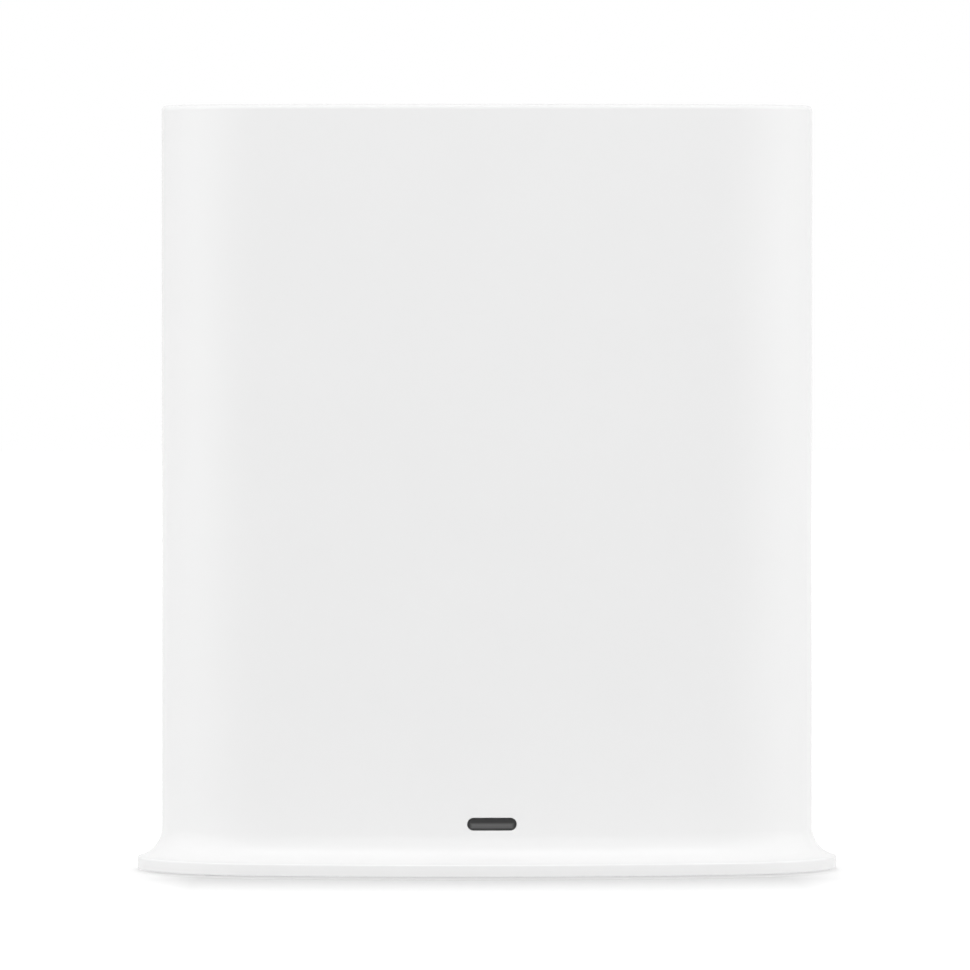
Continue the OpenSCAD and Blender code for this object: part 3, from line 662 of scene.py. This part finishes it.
# A full round stops just short of half the width, and a cutter runs past the face that it cuts.
FULL_ROUND = 0.999
OVERRUN = 1
EDGE_STEPS = 6


def about(middle, half):
    """A range on both sides of a middle."""
    return middle - half, middle + half


def facing(side, near, far):
    """A range on one side of the origin, lower end first."""
    return tuple(sorted((side * near, side * far)))


def rounded_bar(x, y, z, corner=0, steps=10, along=1):
    """A bar between two corners, with its four edges along one axis rounded."""
    bm = bmesh.new()
    bmesh.ops.create_cube(bm, size=1)
    bmesh.ops.scale(bm, vec=[high - low for low, high in (x, y, z)], verts=bm.verts)
    bmesh.ops.translate(bm, vec=[(low + high) / 2 for low, high in (x, y, z)], verts=bm.verts)
    if corner:
        long_edges = [e for e in bm.edges if abs(e.verts[0].co[along] - e.verts[1].co[along]) > MERGE]
        bmesh.ops.bevel(bm, geom=long_edges, offset=corner, offset_type="OFFSET", affect="EDGES",
                        segments=steps, profile=0.5, material=-1, clamp_overlap=True)
    return bm


def turned(outline, centre, axis, steps=48):
    """Turn an outline of radii and heights about an axis through a centre, as on a lathe."""
    out, up = Vector((1, 0, 0)), Vector(axis)
    bm = bmesh.new()
    vert = bm.verts.new(Vector(centre) + out * outline[0][0] + up * outline[0][1])
    for radius, height in outline[1:]:
        vert = bmesh.ops.extrude_vert_indiv(bm, verts=[vert])["verts"][0]
        vert.co = Vector(centre) + out * radius + up * height
    bmesh.ops.spin(bm, geom=bm.verts[:] + bm.edges[:], cent=centre, axis=axis,
                   angle=math.radians(360), steps=steps, use_merge=True)
    bmesh.ops.remove_doubles(bm, verts=bm.verts, dist=MERGE)
    bmesh.ops.recalc_face_normals(bm, faces=bm.faces)
    return bm


def rod(radius, centre, low, high, axis, steps=48):
    """A plain round bar between two heights along an axis."""
    return turned([(0, low), (radius, low), (radius, high), (0, high)], centre, axis, steps)


def edge_round(radius, face, size, up):
    """A quarter round on a turned outline's edge, from its upper or lower face to its side."""
    turns = [math.radians(90 / EDGE_STEPS * step) for step in range(EDGE_STEPS + 1)]
    return [(radius - size + size * math.sin(turn), face + up * (size * math.cos(turn) - size))
            for turn in turns]


# %% [markdown]
# ## Housing
# The sleeve is one moulding: an upright rim at the table, a hollow curve that sweeps in to the
# straight body, and a small round at the top. The profile is drawn from the rim upwards and spun
# round the plan. The rim's round and the hollow curve meet in one tangent, so no crease shows
# between them. Inside, the sleeve is hollow, flat at the back where the port panel bears, wider
# at both ends for the bottom plate and the cap, with a window behind and a slot for the lens.

# %% Housing profile
HOUSING_LOW, HOUSING_HIGH = cad_box("housing")
RIM_LOW, TOP = HOUSING_LOW.z, HOUSING_HIGH.z
FLARE, FLARE_R, RIM_TOP, TOP_ROUND = 4.5, 5.5, 2.6, 0.95
RIM_ROUND, RIM_UNDER = 0.4, 0.1
FLARE_TOP = RIM_TOP + math.sqrt(FLARE_R ** 2 - (FLARE_R - FLARE) ** 2)

bm = bmesh.new()
tip = bm.verts.new((SIDE + FLARE - RIM_UNDER, 0, RIM_LOW))
tip = pen_arc(bm, tip, FLARE - RIM_UNDER, RIM_LOW + RIM_UNDER, -90, steps=3)
between = FLARE_R + RIM_ROUND
lip_turn = math.degrees(math.asin((between - FLARE) / between))
shoulder_z = FLARE_TOP - between * math.cos(math.radians(lip_turn))
tip = pen_line(bm, tip, FLARE, shoulder_z)
tip = pen_arc(bm, tip, FLARE - RIM_ROUND, shoulder_z, lip_turn - 90, steps=5)
tip = pen_arc(bm, tip, FLARE_R, FLARE_TOP, 90 - lip_turn, steps=14)
tip = pen_line(bm, tip, 0, TOP - TOP_ROUND)
tip = pen_arc(bm, tip, -TOP_ROUND, TOP - TOP_ROUND, -90, steps=6)
print("housing profile:", len(bm.verts), "points, ends at", [round(c, 2) for c in tip.co])

# %% Housing body
sweep_plan(bm)
housing = raw_object("housing_shell", bm)
print("housing body:", len(housing.data.polygons), "faces")

# %% [markdown]
# The hollow is a prism of the same plan, smaller by the wall. bisect_plane cuts its back off flat,
# which leaves a thick flat land inside the rear wall for the panel to bear on.

# %% Housing hollow
WALL, LAND_Y = 2.2, 23.7
CAP_LOW, CAP_HIGH = cad_box("top_cap")
PANEL_LOW, PANEL_HIGH = cad_box("rear_panel")
CAP_T, CAP_RIM, PLATE_TOP, PLATE_OUT = 2, 1.2, 2.4, 1.0
CAP_SEAT = CAP_HIGH.z - CAP_T

hollow = plan_prism(-WALL, PLATE_TOP - OVERRUN, CAP_SEAT + OVERRUN)
bmesh.ops.bisect_plane(hollow, geom=hollow.verts[:] + hollow.edges[:] + hollow.faces[:],
                       plane_co=(0, LAND_Y, 0), plane_no=(0, 1, 0), clear_outer=True)
bmesh.ops.holes_fill(hollow, edges=[e for e in hollow.edges if e.is_boundary], sides=0)
bmesh.ops.recalc_face_normals(hollow, faces=hollow.faces)
print("hollow:", len(hollow.faces), "faces")

# %% Housing openings
WINDOW_X, WINDOW_LOW, WINDOW_LAP, WINDOW_R, WINDOW_IN = 23, 13, 2, 5, 2
WINDOW_Z = (WINDOW_LOW, PANEL_HIGH.z - WINDOW_LAP)
PAST_WALL, SLOT_IN = 40, -20
LENS_LOW, LENS_HIGH = cad_box("status_lens")
LENS_Z = (LENS_LOW.z + LENS_HIGH.z) / 2
LENS_W, LENS_H, SLOT_GAP = 8.8, 2.1, 0.1


def lens_bar(grow, y):
    """A pill of the lens's outline, grown by a gap, between two depths."""
    half = LENS_H / 2 + grow
    return rounded_bar(about(0, LENS_W / 2 + grow), y, about(LENS_Z, half), half * FULL_ROUND)


cut_away(housing, [
    hollow,
    plan_prism(PLATE_OUT, -OVERRUN, PLATE_TOP),
    plan_prism(-CAP_RIM, CAP_SEAT, TOP + OVERRUN),
    rounded_bar(about(0, WINDOW_X), (LAND_Y - WINDOW_IN, PAST_WALL), WINDOW_Z, WINDOW_R, steps=12),
    lens_bar(SLOT_GAP, (-PAST_WALL, SLOT_IN)),
])
print("housing shell:", len(housing.data.polygons), "faces")

# %% [markdown]
# Inside, the sleeve carries what holds the rest: a post at each corner for a base screw, two ribs
# on each side that guide the board's edges, a rail on each side of the window that the panel slides
# into, ledges for the cap's legs, and two stakes for the light guide. They are joined on as blocks
# and rods that reach into the wall but not through it.

# %% What the housing holds
FEET = ["foot_front_left", "foot_front_right", "foot_rear_left", "foot_rear_right"]
foot_boxes = [cad_box(name) for name in FEET]
FOOT_PLACES = [((low.x + high.x) / 2, (low.y + high.y) / 2, 0) for low, high in foot_boxes]
POST_R, POST_LOW, POST_HIGH, THREAD_R, SCREW_REACH = 3.2, 3.6, 13.6, 1.25, 9.6
BOARD_LOW, BOARD_HIGH = cad_box("main_board")
GUIDE_T, GUIDE_GAP, GUIDE_REACH, GUIDE_LOW, GUIDE_DROP = 1.5, 0.2, 2, 15.6, 4
GUIDE_ROOTS = (57.5, 56.3)
PANEL_T, RAIL_T, RAIL_GAP, RAIL_REACH = 2, 1.6, 0.2, 2
PANEL_Y = (PANEL_HIGH.y - PANEL_T, PANEL_HIGH.y)
LEG_X, LEG_HALF, LEG_FACE, LEG_T = 10, 4, 22.2, 1.4
NIB_REACH, NIB_H, LEDGE_H, LEDGE_ROOT = 1.2, 1.5, 1.5, 26.5
STAKE_X, STAKE_R, STAKE_Y = 9, 0.8, (-26.5, -22.1)
print("feet at:", [tuple(round(c, 2) for c in place) for place in FOOT_PLACES])

# %% Housing ribs and posts
ribs = [rod(POST_R, place, POST_LOW, POST_HIGH, UPRIGHT) for place in FOOT_PLACES]
board_side = BOARD_HIGH.x - GUIDE_REACH
guide_z = (GUIDE_LOW, BOARD_HIGH.z - GUIDE_DROP)
guide_fronts = (BOARD_LOW.y - GUIDE_GAP - GUIDE_T, BOARD_HIGH.y + GUIDE_GAP)
web = PANEL_HIGH.x + RAIL_GAP
rail_front = PANEL_Y[0] - RAIL_GAP - RAIL_T
rail_z = (WINDOW_Z[0], PANEL_HIGH.z + RAIL_T)
ledge_low = CAP_LOW.z + NIB_H + RAIL_GAP
for side in (-1, 1):
    for front, root in zip(guide_fronts, GUIDE_ROOTS):
        ribs.append(rounded_bar(facing(side, board_side, root), (front, front + GUIDE_T), guide_z))
    ribs.append(rounded_bar(facing(side, web, web + RAIL_T), (rail_front, LAND_Y + OVERRUN), rail_z))
    lip_x = facing(side, web - RAIL_REACH, web + RAIL_T / 2)
    ribs.append(rounded_bar(lip_x, (rail_front, rail_front + RAIL_T), rail_z))
    ribs.append(rod(STAKE_R, (side * STAKE_X, 0, LENS_Z), *STAKE_Y, BACKWARD, steps=24))
    for face in (-1, 1):
        ledge_y = facing(face, LEG_FACE + RAIL_GAP, LEDGE_ROOT)
        ledge_z = (ledge_low, ledge_low + LEDGE_H)
        ribs.append(rounded_bar(about(side * LEG_X, LEG_HALF), ledge_y, ledge_z))
join_on(housing, ribs)
cut_away(housing, [rod(THREAD_R, place, POST_LOW - OVERRUN, SCREW_REACH, UPRIGHT, steps=24)
                   for place in FOOT_PLACES])
dress(housing, "white_shell", "enclosure", ["housing"], edge_mm=0.2)

# %% [markdown]
# ## Top cap
# The top is closed by a thin cap that lies a third of a millimetre below the rim, with a fine gap
# all round. It is the same plan again, a little smaller, so one prism is enough, and four legs with
# hooked ends hang from it and snap under the ledges of the sleeve.

# %% Cap
CAP_GAP = 0.2
cap = raw_object("top_lid", plan_prism(-CAP_RIM - CAP_GAP, CAP_SEAT, CAP_HIGH.z))
legs = []
for side in (-1, 1):
    for face in (-1, 1):
        leg_x = about(side * LEG_X, LEG_HALF)
        leg_y = facing(face, LEG_FACE - LEG_T, LEG_FACE)
        nib_y = facing(face, LEG_FACE - LEG_T / 2, LEG_FACE + NIB_REACH)
        legs.append(rounded_bar(leg_x, leg_y, (CAP_LOW.z, CAP_SEAT + OVERRUN)))
        legs.append(rounded_bar(leg_x, nib_y, (CAP_LOW.z, CAP_LOW.z + NIB_H)))
join_on(cap, legs)
dress(cap, "white_shell", "enclosure", ["top_cap"], edge_mm=0.25)

# %% [markdown]
# ## Status lens
# A small pill of smoked plastic closes the slot in the foot's front. It is one bar with full-round
# ends, whose face leans back by a degree or two as mouldings do, so it mirrors the dark side of the
# room, and a wider lip behind it that bears on the inside of the wall. Its finish paints light into
# the lower half: a paler tone, darker towards the bottom, stands in for the light guide lit behind
# the smoke. A painted shade darkens the border along the bottom edge and at the round ends.

# %% Smoked finish
LENS_STEP, LENS_SOFT, PAINTED_SHADE_SOFT = 0.1, 0.24, 0.06
PAINTED_LIGHT_HALF, PAINTED_LIGHT_RISE = 3.86, 0.27
SMOKE_DARK, SMOKE_PAINTED_LIGHT, SMOKE_PAINTED_LIGHT_LOW = grey(60), grey(104), grey(84)

smoked = finish("smoked_lens", SMOKE_DARK, 0.05, (0.05, 0.09), 0.4, 0.0005, 3, ior=1.58)
tree = smoked.node_tree
shader = tree.nodes["Principled BSDF"]
place = tree.nodes.new("ShaderNodeTexCoord")
axes = tree.nodes.new("ShaderNodeSeparateXYZ")
tree.links.new(place.outputs["Object"], axes.inputs[0])
# The paler lower half is painted light, and the dark bottom edge and ends are painted shade; above the
# step the lens keeps its own dark smoke.
step_z, soft, foot_z = (LENS_Z + LENS_STEP) * MM, LENS_SOFT * MM, (LENS_Z - LENS_H / 2) * MM
half, rise_z, crisp = PAINTED_LIGHT_HALF * MM, foot_z + PAINTED_LIGHT_RISE * MM, PAINTED_SHADE_SOFT * MM
across = number(tree, "ABSOLUTE", axes.outputs["X"])
above = spread(tree, axes.outputs["Z"], 0, 1, step_z - soft, step_z + soft)
below = spread(tree, axes.outputs["Z"], 1, 0, rise_z - crisp, rise_z + crisp)
past_end = spread(tree, across, 0, 1, half - soft, half + soft)
# The smoke's own dark tone above the step, and painted shade along the bottom edge and past the ends.
smoke_and_painted_shade = number(tree, "MAXIMUM", above, number(tree, "MAXIMUM", below, past_end))
painted_light_fall = spread(tree, axes.outputs["Z"], 1, 0, foot_z, step_z)
painted_light_tone = blend_colours(tree, painted_light_fall, SMOKE_PAINTED_LIGHT, SMOKE_PAINTED_LIGHT_LOW)
tree.links.new(blend_colours(tree, smoke_and_painted_shade, painted_light_tone, SMOKE_DARK), shader.inputs["Base Color"])
FINISHES["smoked_lens"] = smoked
print("finish:", smoked.name)

# %% Lens
LENS_LEAN, LENS_LIP, LENS_LIP_T = math.radians(-2), 1.2, 1
FACE_NEAR, LEAN_IN = 0.01, 0.05
lens_bm = lens_bar(0, (LENS_LOW.y, LENS_HIGH.y))
front = [v for v in lens_bm.verts if v.co.y < LENS_LOW.y + FACE_NEAR]
bmesh.ops.rotate(lens_bm, verts=front, cent=(0, LENS_LOW.y + LEAN_IN, LENS_Z),
                 matrix=Matrix.Rotation(LENS_LEAN, 3, "X"))
lens = raw_object("status_window", lens_bm)
join_on(lens, [lens_bar(LENS_LIP, (LENS_HIGH.y - LENS_LIP_T, LENS_HIGH.y))])
dress(lens, "smoked_lens", "enclosure", ["status_lens"], edge_mm=0.12)

# %% [markdown]
# ## Bottom tray and feet
# The sleeve is closed below by a tray with a row of air slots and four bosses that meet the screw
# posts. Each boss is drilled from below in three steps: a wide seat for a rubber foot, a
# counterbore for the screw's head, and the hole for its shank. The foot hides the screw.

# %% Tray
TRAY_LOW, TRAY_OUT, BOSS_SINK = 0.6, 0.8, 0.2
FOOT_SEAT, HEAD_TOP, SHANK_TOP = 1.4, 2.5, 5
SEAT_R, HEAD_R, SHANK_R = 4.6, 2.4, 1.4
# Radius, lowest and highest point of each step.
DRILLS = [(SEAT_R, -OVERRUN, FOOT_SEAT), (HEAD_R, 0, HEAD_TOP), (SHANK_R, 0, SHANK_TOP)]
SLOT_W, SLOT_LEN, SLOT_PITCH, SLOT_SIDE, SLOT_Z = 2.5, 26, 7, 4, (-1, 5)

tray = raw_object("bottom_tray", plan_prism(TRAY_OUT, TRAY_LOW, PLATE_TOP))
join_on(tray, [rod(POST_R, place, TRAY_LOW + BOSS_SINK, POST_LOW, UPRIGHT) for place in FOOT_PLACES])
for place in FOOT_PLACES:
    cut_away(tray, [rod(radius, place, low, high, UPRIGHT) for radius, low, high in DRILLS])
slots = []
for step in range(-SLOT_SIDE, SLOT_SIDE + 1):
    slots.append(rounded_bar(about(step * SLOT_PITCH, SLOT_W / 2), about(0, SLOT_LEN / 2), SLOT_Z,
                             SLOT_W / 2 * FULL_ROUND, steps=8, along=2))
cut_away(tray, slots)
dress(tray, "base_plastic", "enclosure", ["bottom_plate"], edge_mm=0.15)

# %% [markdown]
# The feet are turned on a lathe: a ring that touches the table, a shallow dish inside it, and a
# rounded edge. The outline is a list of radii and heights, and a full spin closes it.

# %% Feet
FOOT_R, FOOT_EDGE, FOOT_DISH = 4.5, 0.4, 0.2
DISH_SIDE = [(2.8, FOOT_DISH), (3.1, 0.04), (3.3, 0)]
foot_outline = [(0, FOOT_DISH), *DISH_SIDE, *edge_round(FOOT_R, 0, FOOT_EDGE, -1),
                (FOOT_R, FOOT_SEAT), (0, FOOT_SEAT)]
for name, place in zip(FEET, FOOT_PLACES):
    foot = raw_object(name + "_pad", turned(foot_outline, place, UPRIGHT, steps=64))
    dress(foot, "foot_rubber", "enclosure", [name], edge_mm=0)

# %% [markdown]
# ## Port panel
# The panel is a plate behind the window of the sleeve, with an opening for each socket, a round
# hole for the sync button, a pinhole for the reset switch and a stack of air slots. Each opening is
# the socket's own box, taken from the frame and grown by a quarter of a millimetre. Four hollow
# bosses on its inner side carry the board.

# %% Panel
SOCKETS = ["power_jack", "ethernet_jack", "usb_shell"]
SOCKET_GAP = 0.25
BUTTON_LOW, BUTTON_HIGH = cad_box("sync_button")
SYNC_Z = (BUTTON_LOW.z + BUTTON_HIGH.z) / 2
STEM_LOW, STEM_HIGH = cad_box("reset_switch_stem")
RESET_Z, RESET_R = (STEM_LOW.z + STEM_HIGH.z) / 2, 1
SYNC_R, SYNC_LIP, SYNC_GAP = 5, 1.2, 0.4
VENTS, VENT_PITCH, VENT_W, VENT_H = 8, 3.6, 34, 2
BOSS_R, BOSS_X, BOSS_EDGE, BOSS_BORE = 3, 21, 7, 16.7
PANEL_CORNER, SOCKET_CORNER = 1, 0.4

panel_x, panel_z = (PANEL_LOW.x, PANEL_HIGH.x), (PANEL_LOW.z, PANEL_HIGH.z)
panel = raw_object("port_panel", rounded_bar(panel_x, PANEL_Y, panel_z, PANEL_CORNER))
boss_places = [(side * BOSS_X, 0, z) for side in (-1, 1)
               for z in (BOARD_LOW.z + BOSS_EDGE, BOARD_HIGH.z - BOSS_EDGE)]
join_on(panel, [rod(BOSS_R, place, PANEL_LOW.y, PANEL_Y[0] + OVERRUN, BACKWARD)
                for place in boss_places])

# %% Panel openings
openings = [rod(THREAD_R, place, PANEL_LOW.y - OVERRUN, BOSS_BORE, BACKWARD, steps=24)
            for place in boss_places]
through = (PANEL_Y[0] - OVERRUN, PANEL_Y[1] + OVERRUN)
for name in SOCKETS:
    low, high = cad_box(name)
    openings.append(rounded_bar((low.x - SOCKET_GAP, high.x + SOCKET_GAP), through,
                                (low.z - SOCKET_GAP, high.z + SOCKET_GAP), SOCKET_CORNER, steps=4))
openings.append(rod(SYNC_R + SYNC_GAP, (0, 0, SYNC_Z), *through, BACKWARD, steps=64))
openings.append(rod(RESET_R, (0, 0, RESET_Z), *through, BACKWARD, steps=32))
for step in range(1, VENTS + 1):
    vent_z = about(WINDOW_Z[1] - step * VENT_PITCH, VENT_H / 2)
    openings.append(rounded_bar(about(0, VENT_W / 2), through, vent_z, VENT_H / 2 * FULL_ROUND, steps=8))
cut_away(panel, openings)
dress(panel, "panel_plastic", "enclosure", ["rear_panel"], edge_mm=0.15)

# %% [markdown]
# ## Sync button
# A round button with a shallow dish for a fingertip. Its outline starts in the middle of the dish,
# rounds over the edge, steps out to the lip that keeps it behind the panel, and ends in the post
# that presses the switch. It rides on its own body, so it goes in when the joint moves.

# %% Button
DISH_R, DISH_DEPTH, DISH_STEPS = 20, 0.4, 8
BUTTON_EDGE, BUTTON_LIP_T, BUTTON_POST_R, LIP_GAP = 0.35, 1, 1.7, 0.1
FACE_Y = BUTTON_HIGH.y
LIP_TOP = PANEL_Y[0] - LIP_GAP
dish_reach = math.sqrt(DISH_R ** 2 - (DISH_R - DISH_DEPTH) ** 2)
dish_middle = FACE_Y + DISH_R - DISH_DEPTH
dish = []
for step in range(DISH_STEPS + 1):
    out = dish_reach * step / DISH_STEPS
    dish.append((out, dish_middle - math.sqrt(DISH_R ** 2 - out ** 2)))
shoulder = edge_round(SYNC_R, FACE_Y, BUTTON_EDGE, 1)
lip_r = SYNC_R + SYNC_LIP
outline = [*dish, *shoulder, (SYNC_R, LIP_TOP), (lip_r, LIP_TOP), (lip_r, LIP_TOP - BUTTON_LIP_T),
           (BUTTON_POST_R, LIP_TOP - BUTTON_LIP_T), (BUTTON_POST_R, BUTTON_LOW.y), (0, BUTTON_LOW.y)]
button = raw_object("sync_key", turned(outline, (0, 0, SYNC_Z), BACKWARD, steps=72))
dress(button, "button_plastic", "sync_push", ["sync_button"], edge_mm=0.1, edge_steps=2, angle=50)

# %% [markdown]
# ## Network socket
# A black block with the stepped opening of a modular socket: a wide port, a notch below it for the
# plug's latch, and a narrower notch for the latch's tip. Eight slots in its roof hold the contacts,
# and two wells beside the latch hold the lamps. Every step is one box, cut in turn.

# %% Network block
NET_LOW, NET_HIGH = cad_box("ethernet_jack")
NET_Z = (NET_LOW.z + NET_HIGH.z) / 2
NET_BACK, NET_CORNER = 1.5, 0.3
PORT_FLOOR, MOUTH = NET_LOW.y + NET_BACK, NET_HIGH.y + OVERRUN
# Width, lowest and highest point of each step, from the socket's middle.
PORT_STEPS = [(11.9, -2.2, 4.6), (6.2, -3.6, -1.2), (3.4, -4.6, -2.6)]
CONTACTS, CONTACT_PITCH, CONTACT_SLOT, CONTACT_STOP, CONTACT_ROOF = 8, 1.02, 0.6, 1.5, (3.6, 5.6)
LAMP_X, LAMP_Z, LAMP_W, LAMP_H, LAMP_BACK = 5.9, -4.9, 2.6, 2.0, 2

net = raw_object("network_block", rounded_bar(*zip(NET_LOW, NET_HIGH), NET_CORNER, steps=3))
cuts = [rounded_bar(about(0, width / 2), (PORT_FLOOR, MOUTH), (NET_Z + low, NET_Z + high))
        for width, low, high in PORT_STEPS]
contact_y = (NET_LOW.y - OVERRUN, NET_HIGH.y - CONTACT_STOP)
contact_z = [NET_Z + height for height in CONTACT_ROOF]
for index in range(CONTACTS):
    middle = (index - (CONTACTS - 1) / 2) * CONTACT_PITCH
    cuts.append(rounded_bar(about(middle, CONTACT_SLOT / 2), contact_y, contact_z))
for side in (-1, 1):
    cuts.append(rounded_bar(about(side * LAMP_X, LAMP_W / 2), (NET_LOW.y + LAMP_BACK, MOUTH),
                            about(NET_Z + LAMP_Z, LAMP_H / 2)))
cut_away(net, cuts)
dress(net, "socket_black", "enclosure", ["ethernet_jack"], edge_mm=0.08, edge_steps=2)

# %% [markdown]
# ## Host socket
# The host socket's shell is folded from thin tinned sheet: a box open at both ends, with its front
# edge turned outwards. inset and extrude would do for one wall, but a bar with a smaller bar cut
# out keeps the same thickness all round. Two windows in its top and bottom free the spring leaves.

# %% Host shell
USB_LOW, USB_HIGH = cad_box("usb_shell")
USB_Z = (USB_LOW.z + USB_HIGH.z) / 2
USB_W, USB_H, SHEET = 13.1, 5.7, 0.3
LEAF_X, LEAF_W, LEAF_Y = 3.2, 2.2, (15.5, 20.5)
SHELL_CORNER, FLANGE_CORNER, BORE_CORNER, LEAF_CORNER = 0.6, 0.8, 0.3, 0.5


def usb_bar(width, height, y, corner):
    """A bar of the host socket's outline between two depths."""
    return rounded_bar(about(0, width / 2), y, about(USB_Z, height / 2), corner, steps=5)


flange_w, flange_h = USB_HIGH.x - USB_LOW.x, USB_HIGH.z - USB_LOW.z
bore_w, bore_h = USB_W - 2 * SHEET, USB_H - 2 * SHEET
host = raw_object("host_shell", usb_bar(USB_W, USB_H, (USB_LOW.y, USB_HIGH.y), SHELL_CORNER))
join_on(host, [usb_bar(flange_w, flange_h, (USB_HIGH.y - SHEET, USB_HIGH.y), FLANGE_CORNER)])
cut_away(host, [usb_bar(bore_w, bore_h, (USB_LOW.y - OVERRUN, USB_HIGH.y + OVERRUN), BORE_CORNER)])
cut_away(host, [rounded_bar(about(side * LEAF_X, LEAF_W / 2), LEAF_Y, about(USB_Z, USB_H), LEAF_CORNER,
                            steps=4, along=2) for side in (-1, 1)])
dress(host, "tinned_sheet", "enclosure", ["usb_shell"], edge_mm=0.06, edge_steps=2)

# %% [markdown]
# ## Power socket
# A block with a round bore for a barrel plug. The bore is turned with a small funnel at its mouth,
# a slot above it takes the spring leaf, and a hole in its floor holds the root of the centre pin.

# %% Power block
POWER_LOW, POWER_HIGH = cad_box("power_jack")
POWER_Z = (POWER_LOW.z + POWER_HIGH.z) / 2
BORE_R, BORE_BACK, FUNNEL, ROOT_R, POWER_CORNER = 3.15, 4.5, 0.35, 1.55, 0.5
SPRING_HALF, SPRING_LOW, SPRING_HIGH, SPRING_STOP = 1.3, 2, 4.3, 1

power = raw_object("power_block", rounded_bar(*zip(POWER_LOW, POWER_HIGH), POWER_CORNER, steps=4))
floor, mouth = POWER_LOW.y + BORE_BACK, POWER_HIGH.y
bore = [(0, floor), (BORE_R, floor), (BORE_R, mouth - FUNNEL), (BORE_R + 2 * FUNNEL, mouth + FUNNEL),
        (0, mouth + FUNNEL)]
cut_away(power, [
    turned(bore, (0, 0, POWER_Z), BACKWARD, steps=64),
    rod(ROOT_R, (0, 0, POWER_Z), POWER_LOW.y - OVERRUN, floor + OVERRUN, BACKWARD, steps=32),
    rounded_bar(about(0, SPRING_HALF), (POWER_LOW.y - OVERRUN, mouth - SPRING_STOP),
                (POWER_Z + SPRING_LOW, POWER_Z + SPRING_HIGH)),
])
dress(power, "socket_black", "enclosure", ["power_jack"], edge_mm=0.1, edge_steps=2)

# %% [markdown]
# ## Snap discs
# Under each switch stem lies a thin domed disc, which clicks as it is pressed and pushes the stem
# back. It is turned from a thin outline. A disc can't simply follow the stem, because its rim stays
# on the floor of the switch, so it is tied to the sleeve and has a mesh of its own.

# %% Discs
DISC_R, DISC_TOP_R, DISC_T = 2.4, 1.2, 0.12
DISC_FLAT, DISC_FALL, DISC_KEEP = 0.6, 0.03, 0.08
for name in ("sync", "reset"):
    low, high = cad_box(name + "_switch_dome")
    floor, crown, middle = low.y, high.y, (low.z + high.z) / 2
    flat_r, fall = DISC_TOP_R * DISC_FLAT, crown - DISC_FALL
    outer = [(0, crown), (flat_r, crown), (DISC_TOP_R, fall), (DISC_R, floor + DISC_T), (DISC_R, floor)]
    inner = [(DISC_R - DISC_T, floor), (DISC_TOP_R, fall - DISC_T), (flat_r, crown - DISC_T),
             (0, crown - DISC_T)]
    disc = raw_object(name + "_snap_disc", turned(outer + inner, (0, 0, middle), BACKWARD, steps=40))
    dress(disc, "tinned_sheet", "enclosure", [name + "_switch_dome"], edge_mm=0)
    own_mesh(disc)

# %% [markdown]
# ## Carried-over parts
# The other parts keep their CAD shape, which is already right: the board with its chips, coils and
# cans, the heat sink, the antennas, the contacts and the screws. The record names the material slot
# of each, so one loop gives every node its finish.

# %% Finishes for the CAD nodes
dressed = 0
for subpart in frame["record"]["subparts"]:
    node = frame["nodes"][subpart["node"]]
    node.data.materials.clear()
    node.data.materials.append(FINISHES[subpart["material_slot"]])
    dressed += 1
print("nodes with a finish:", dressed)
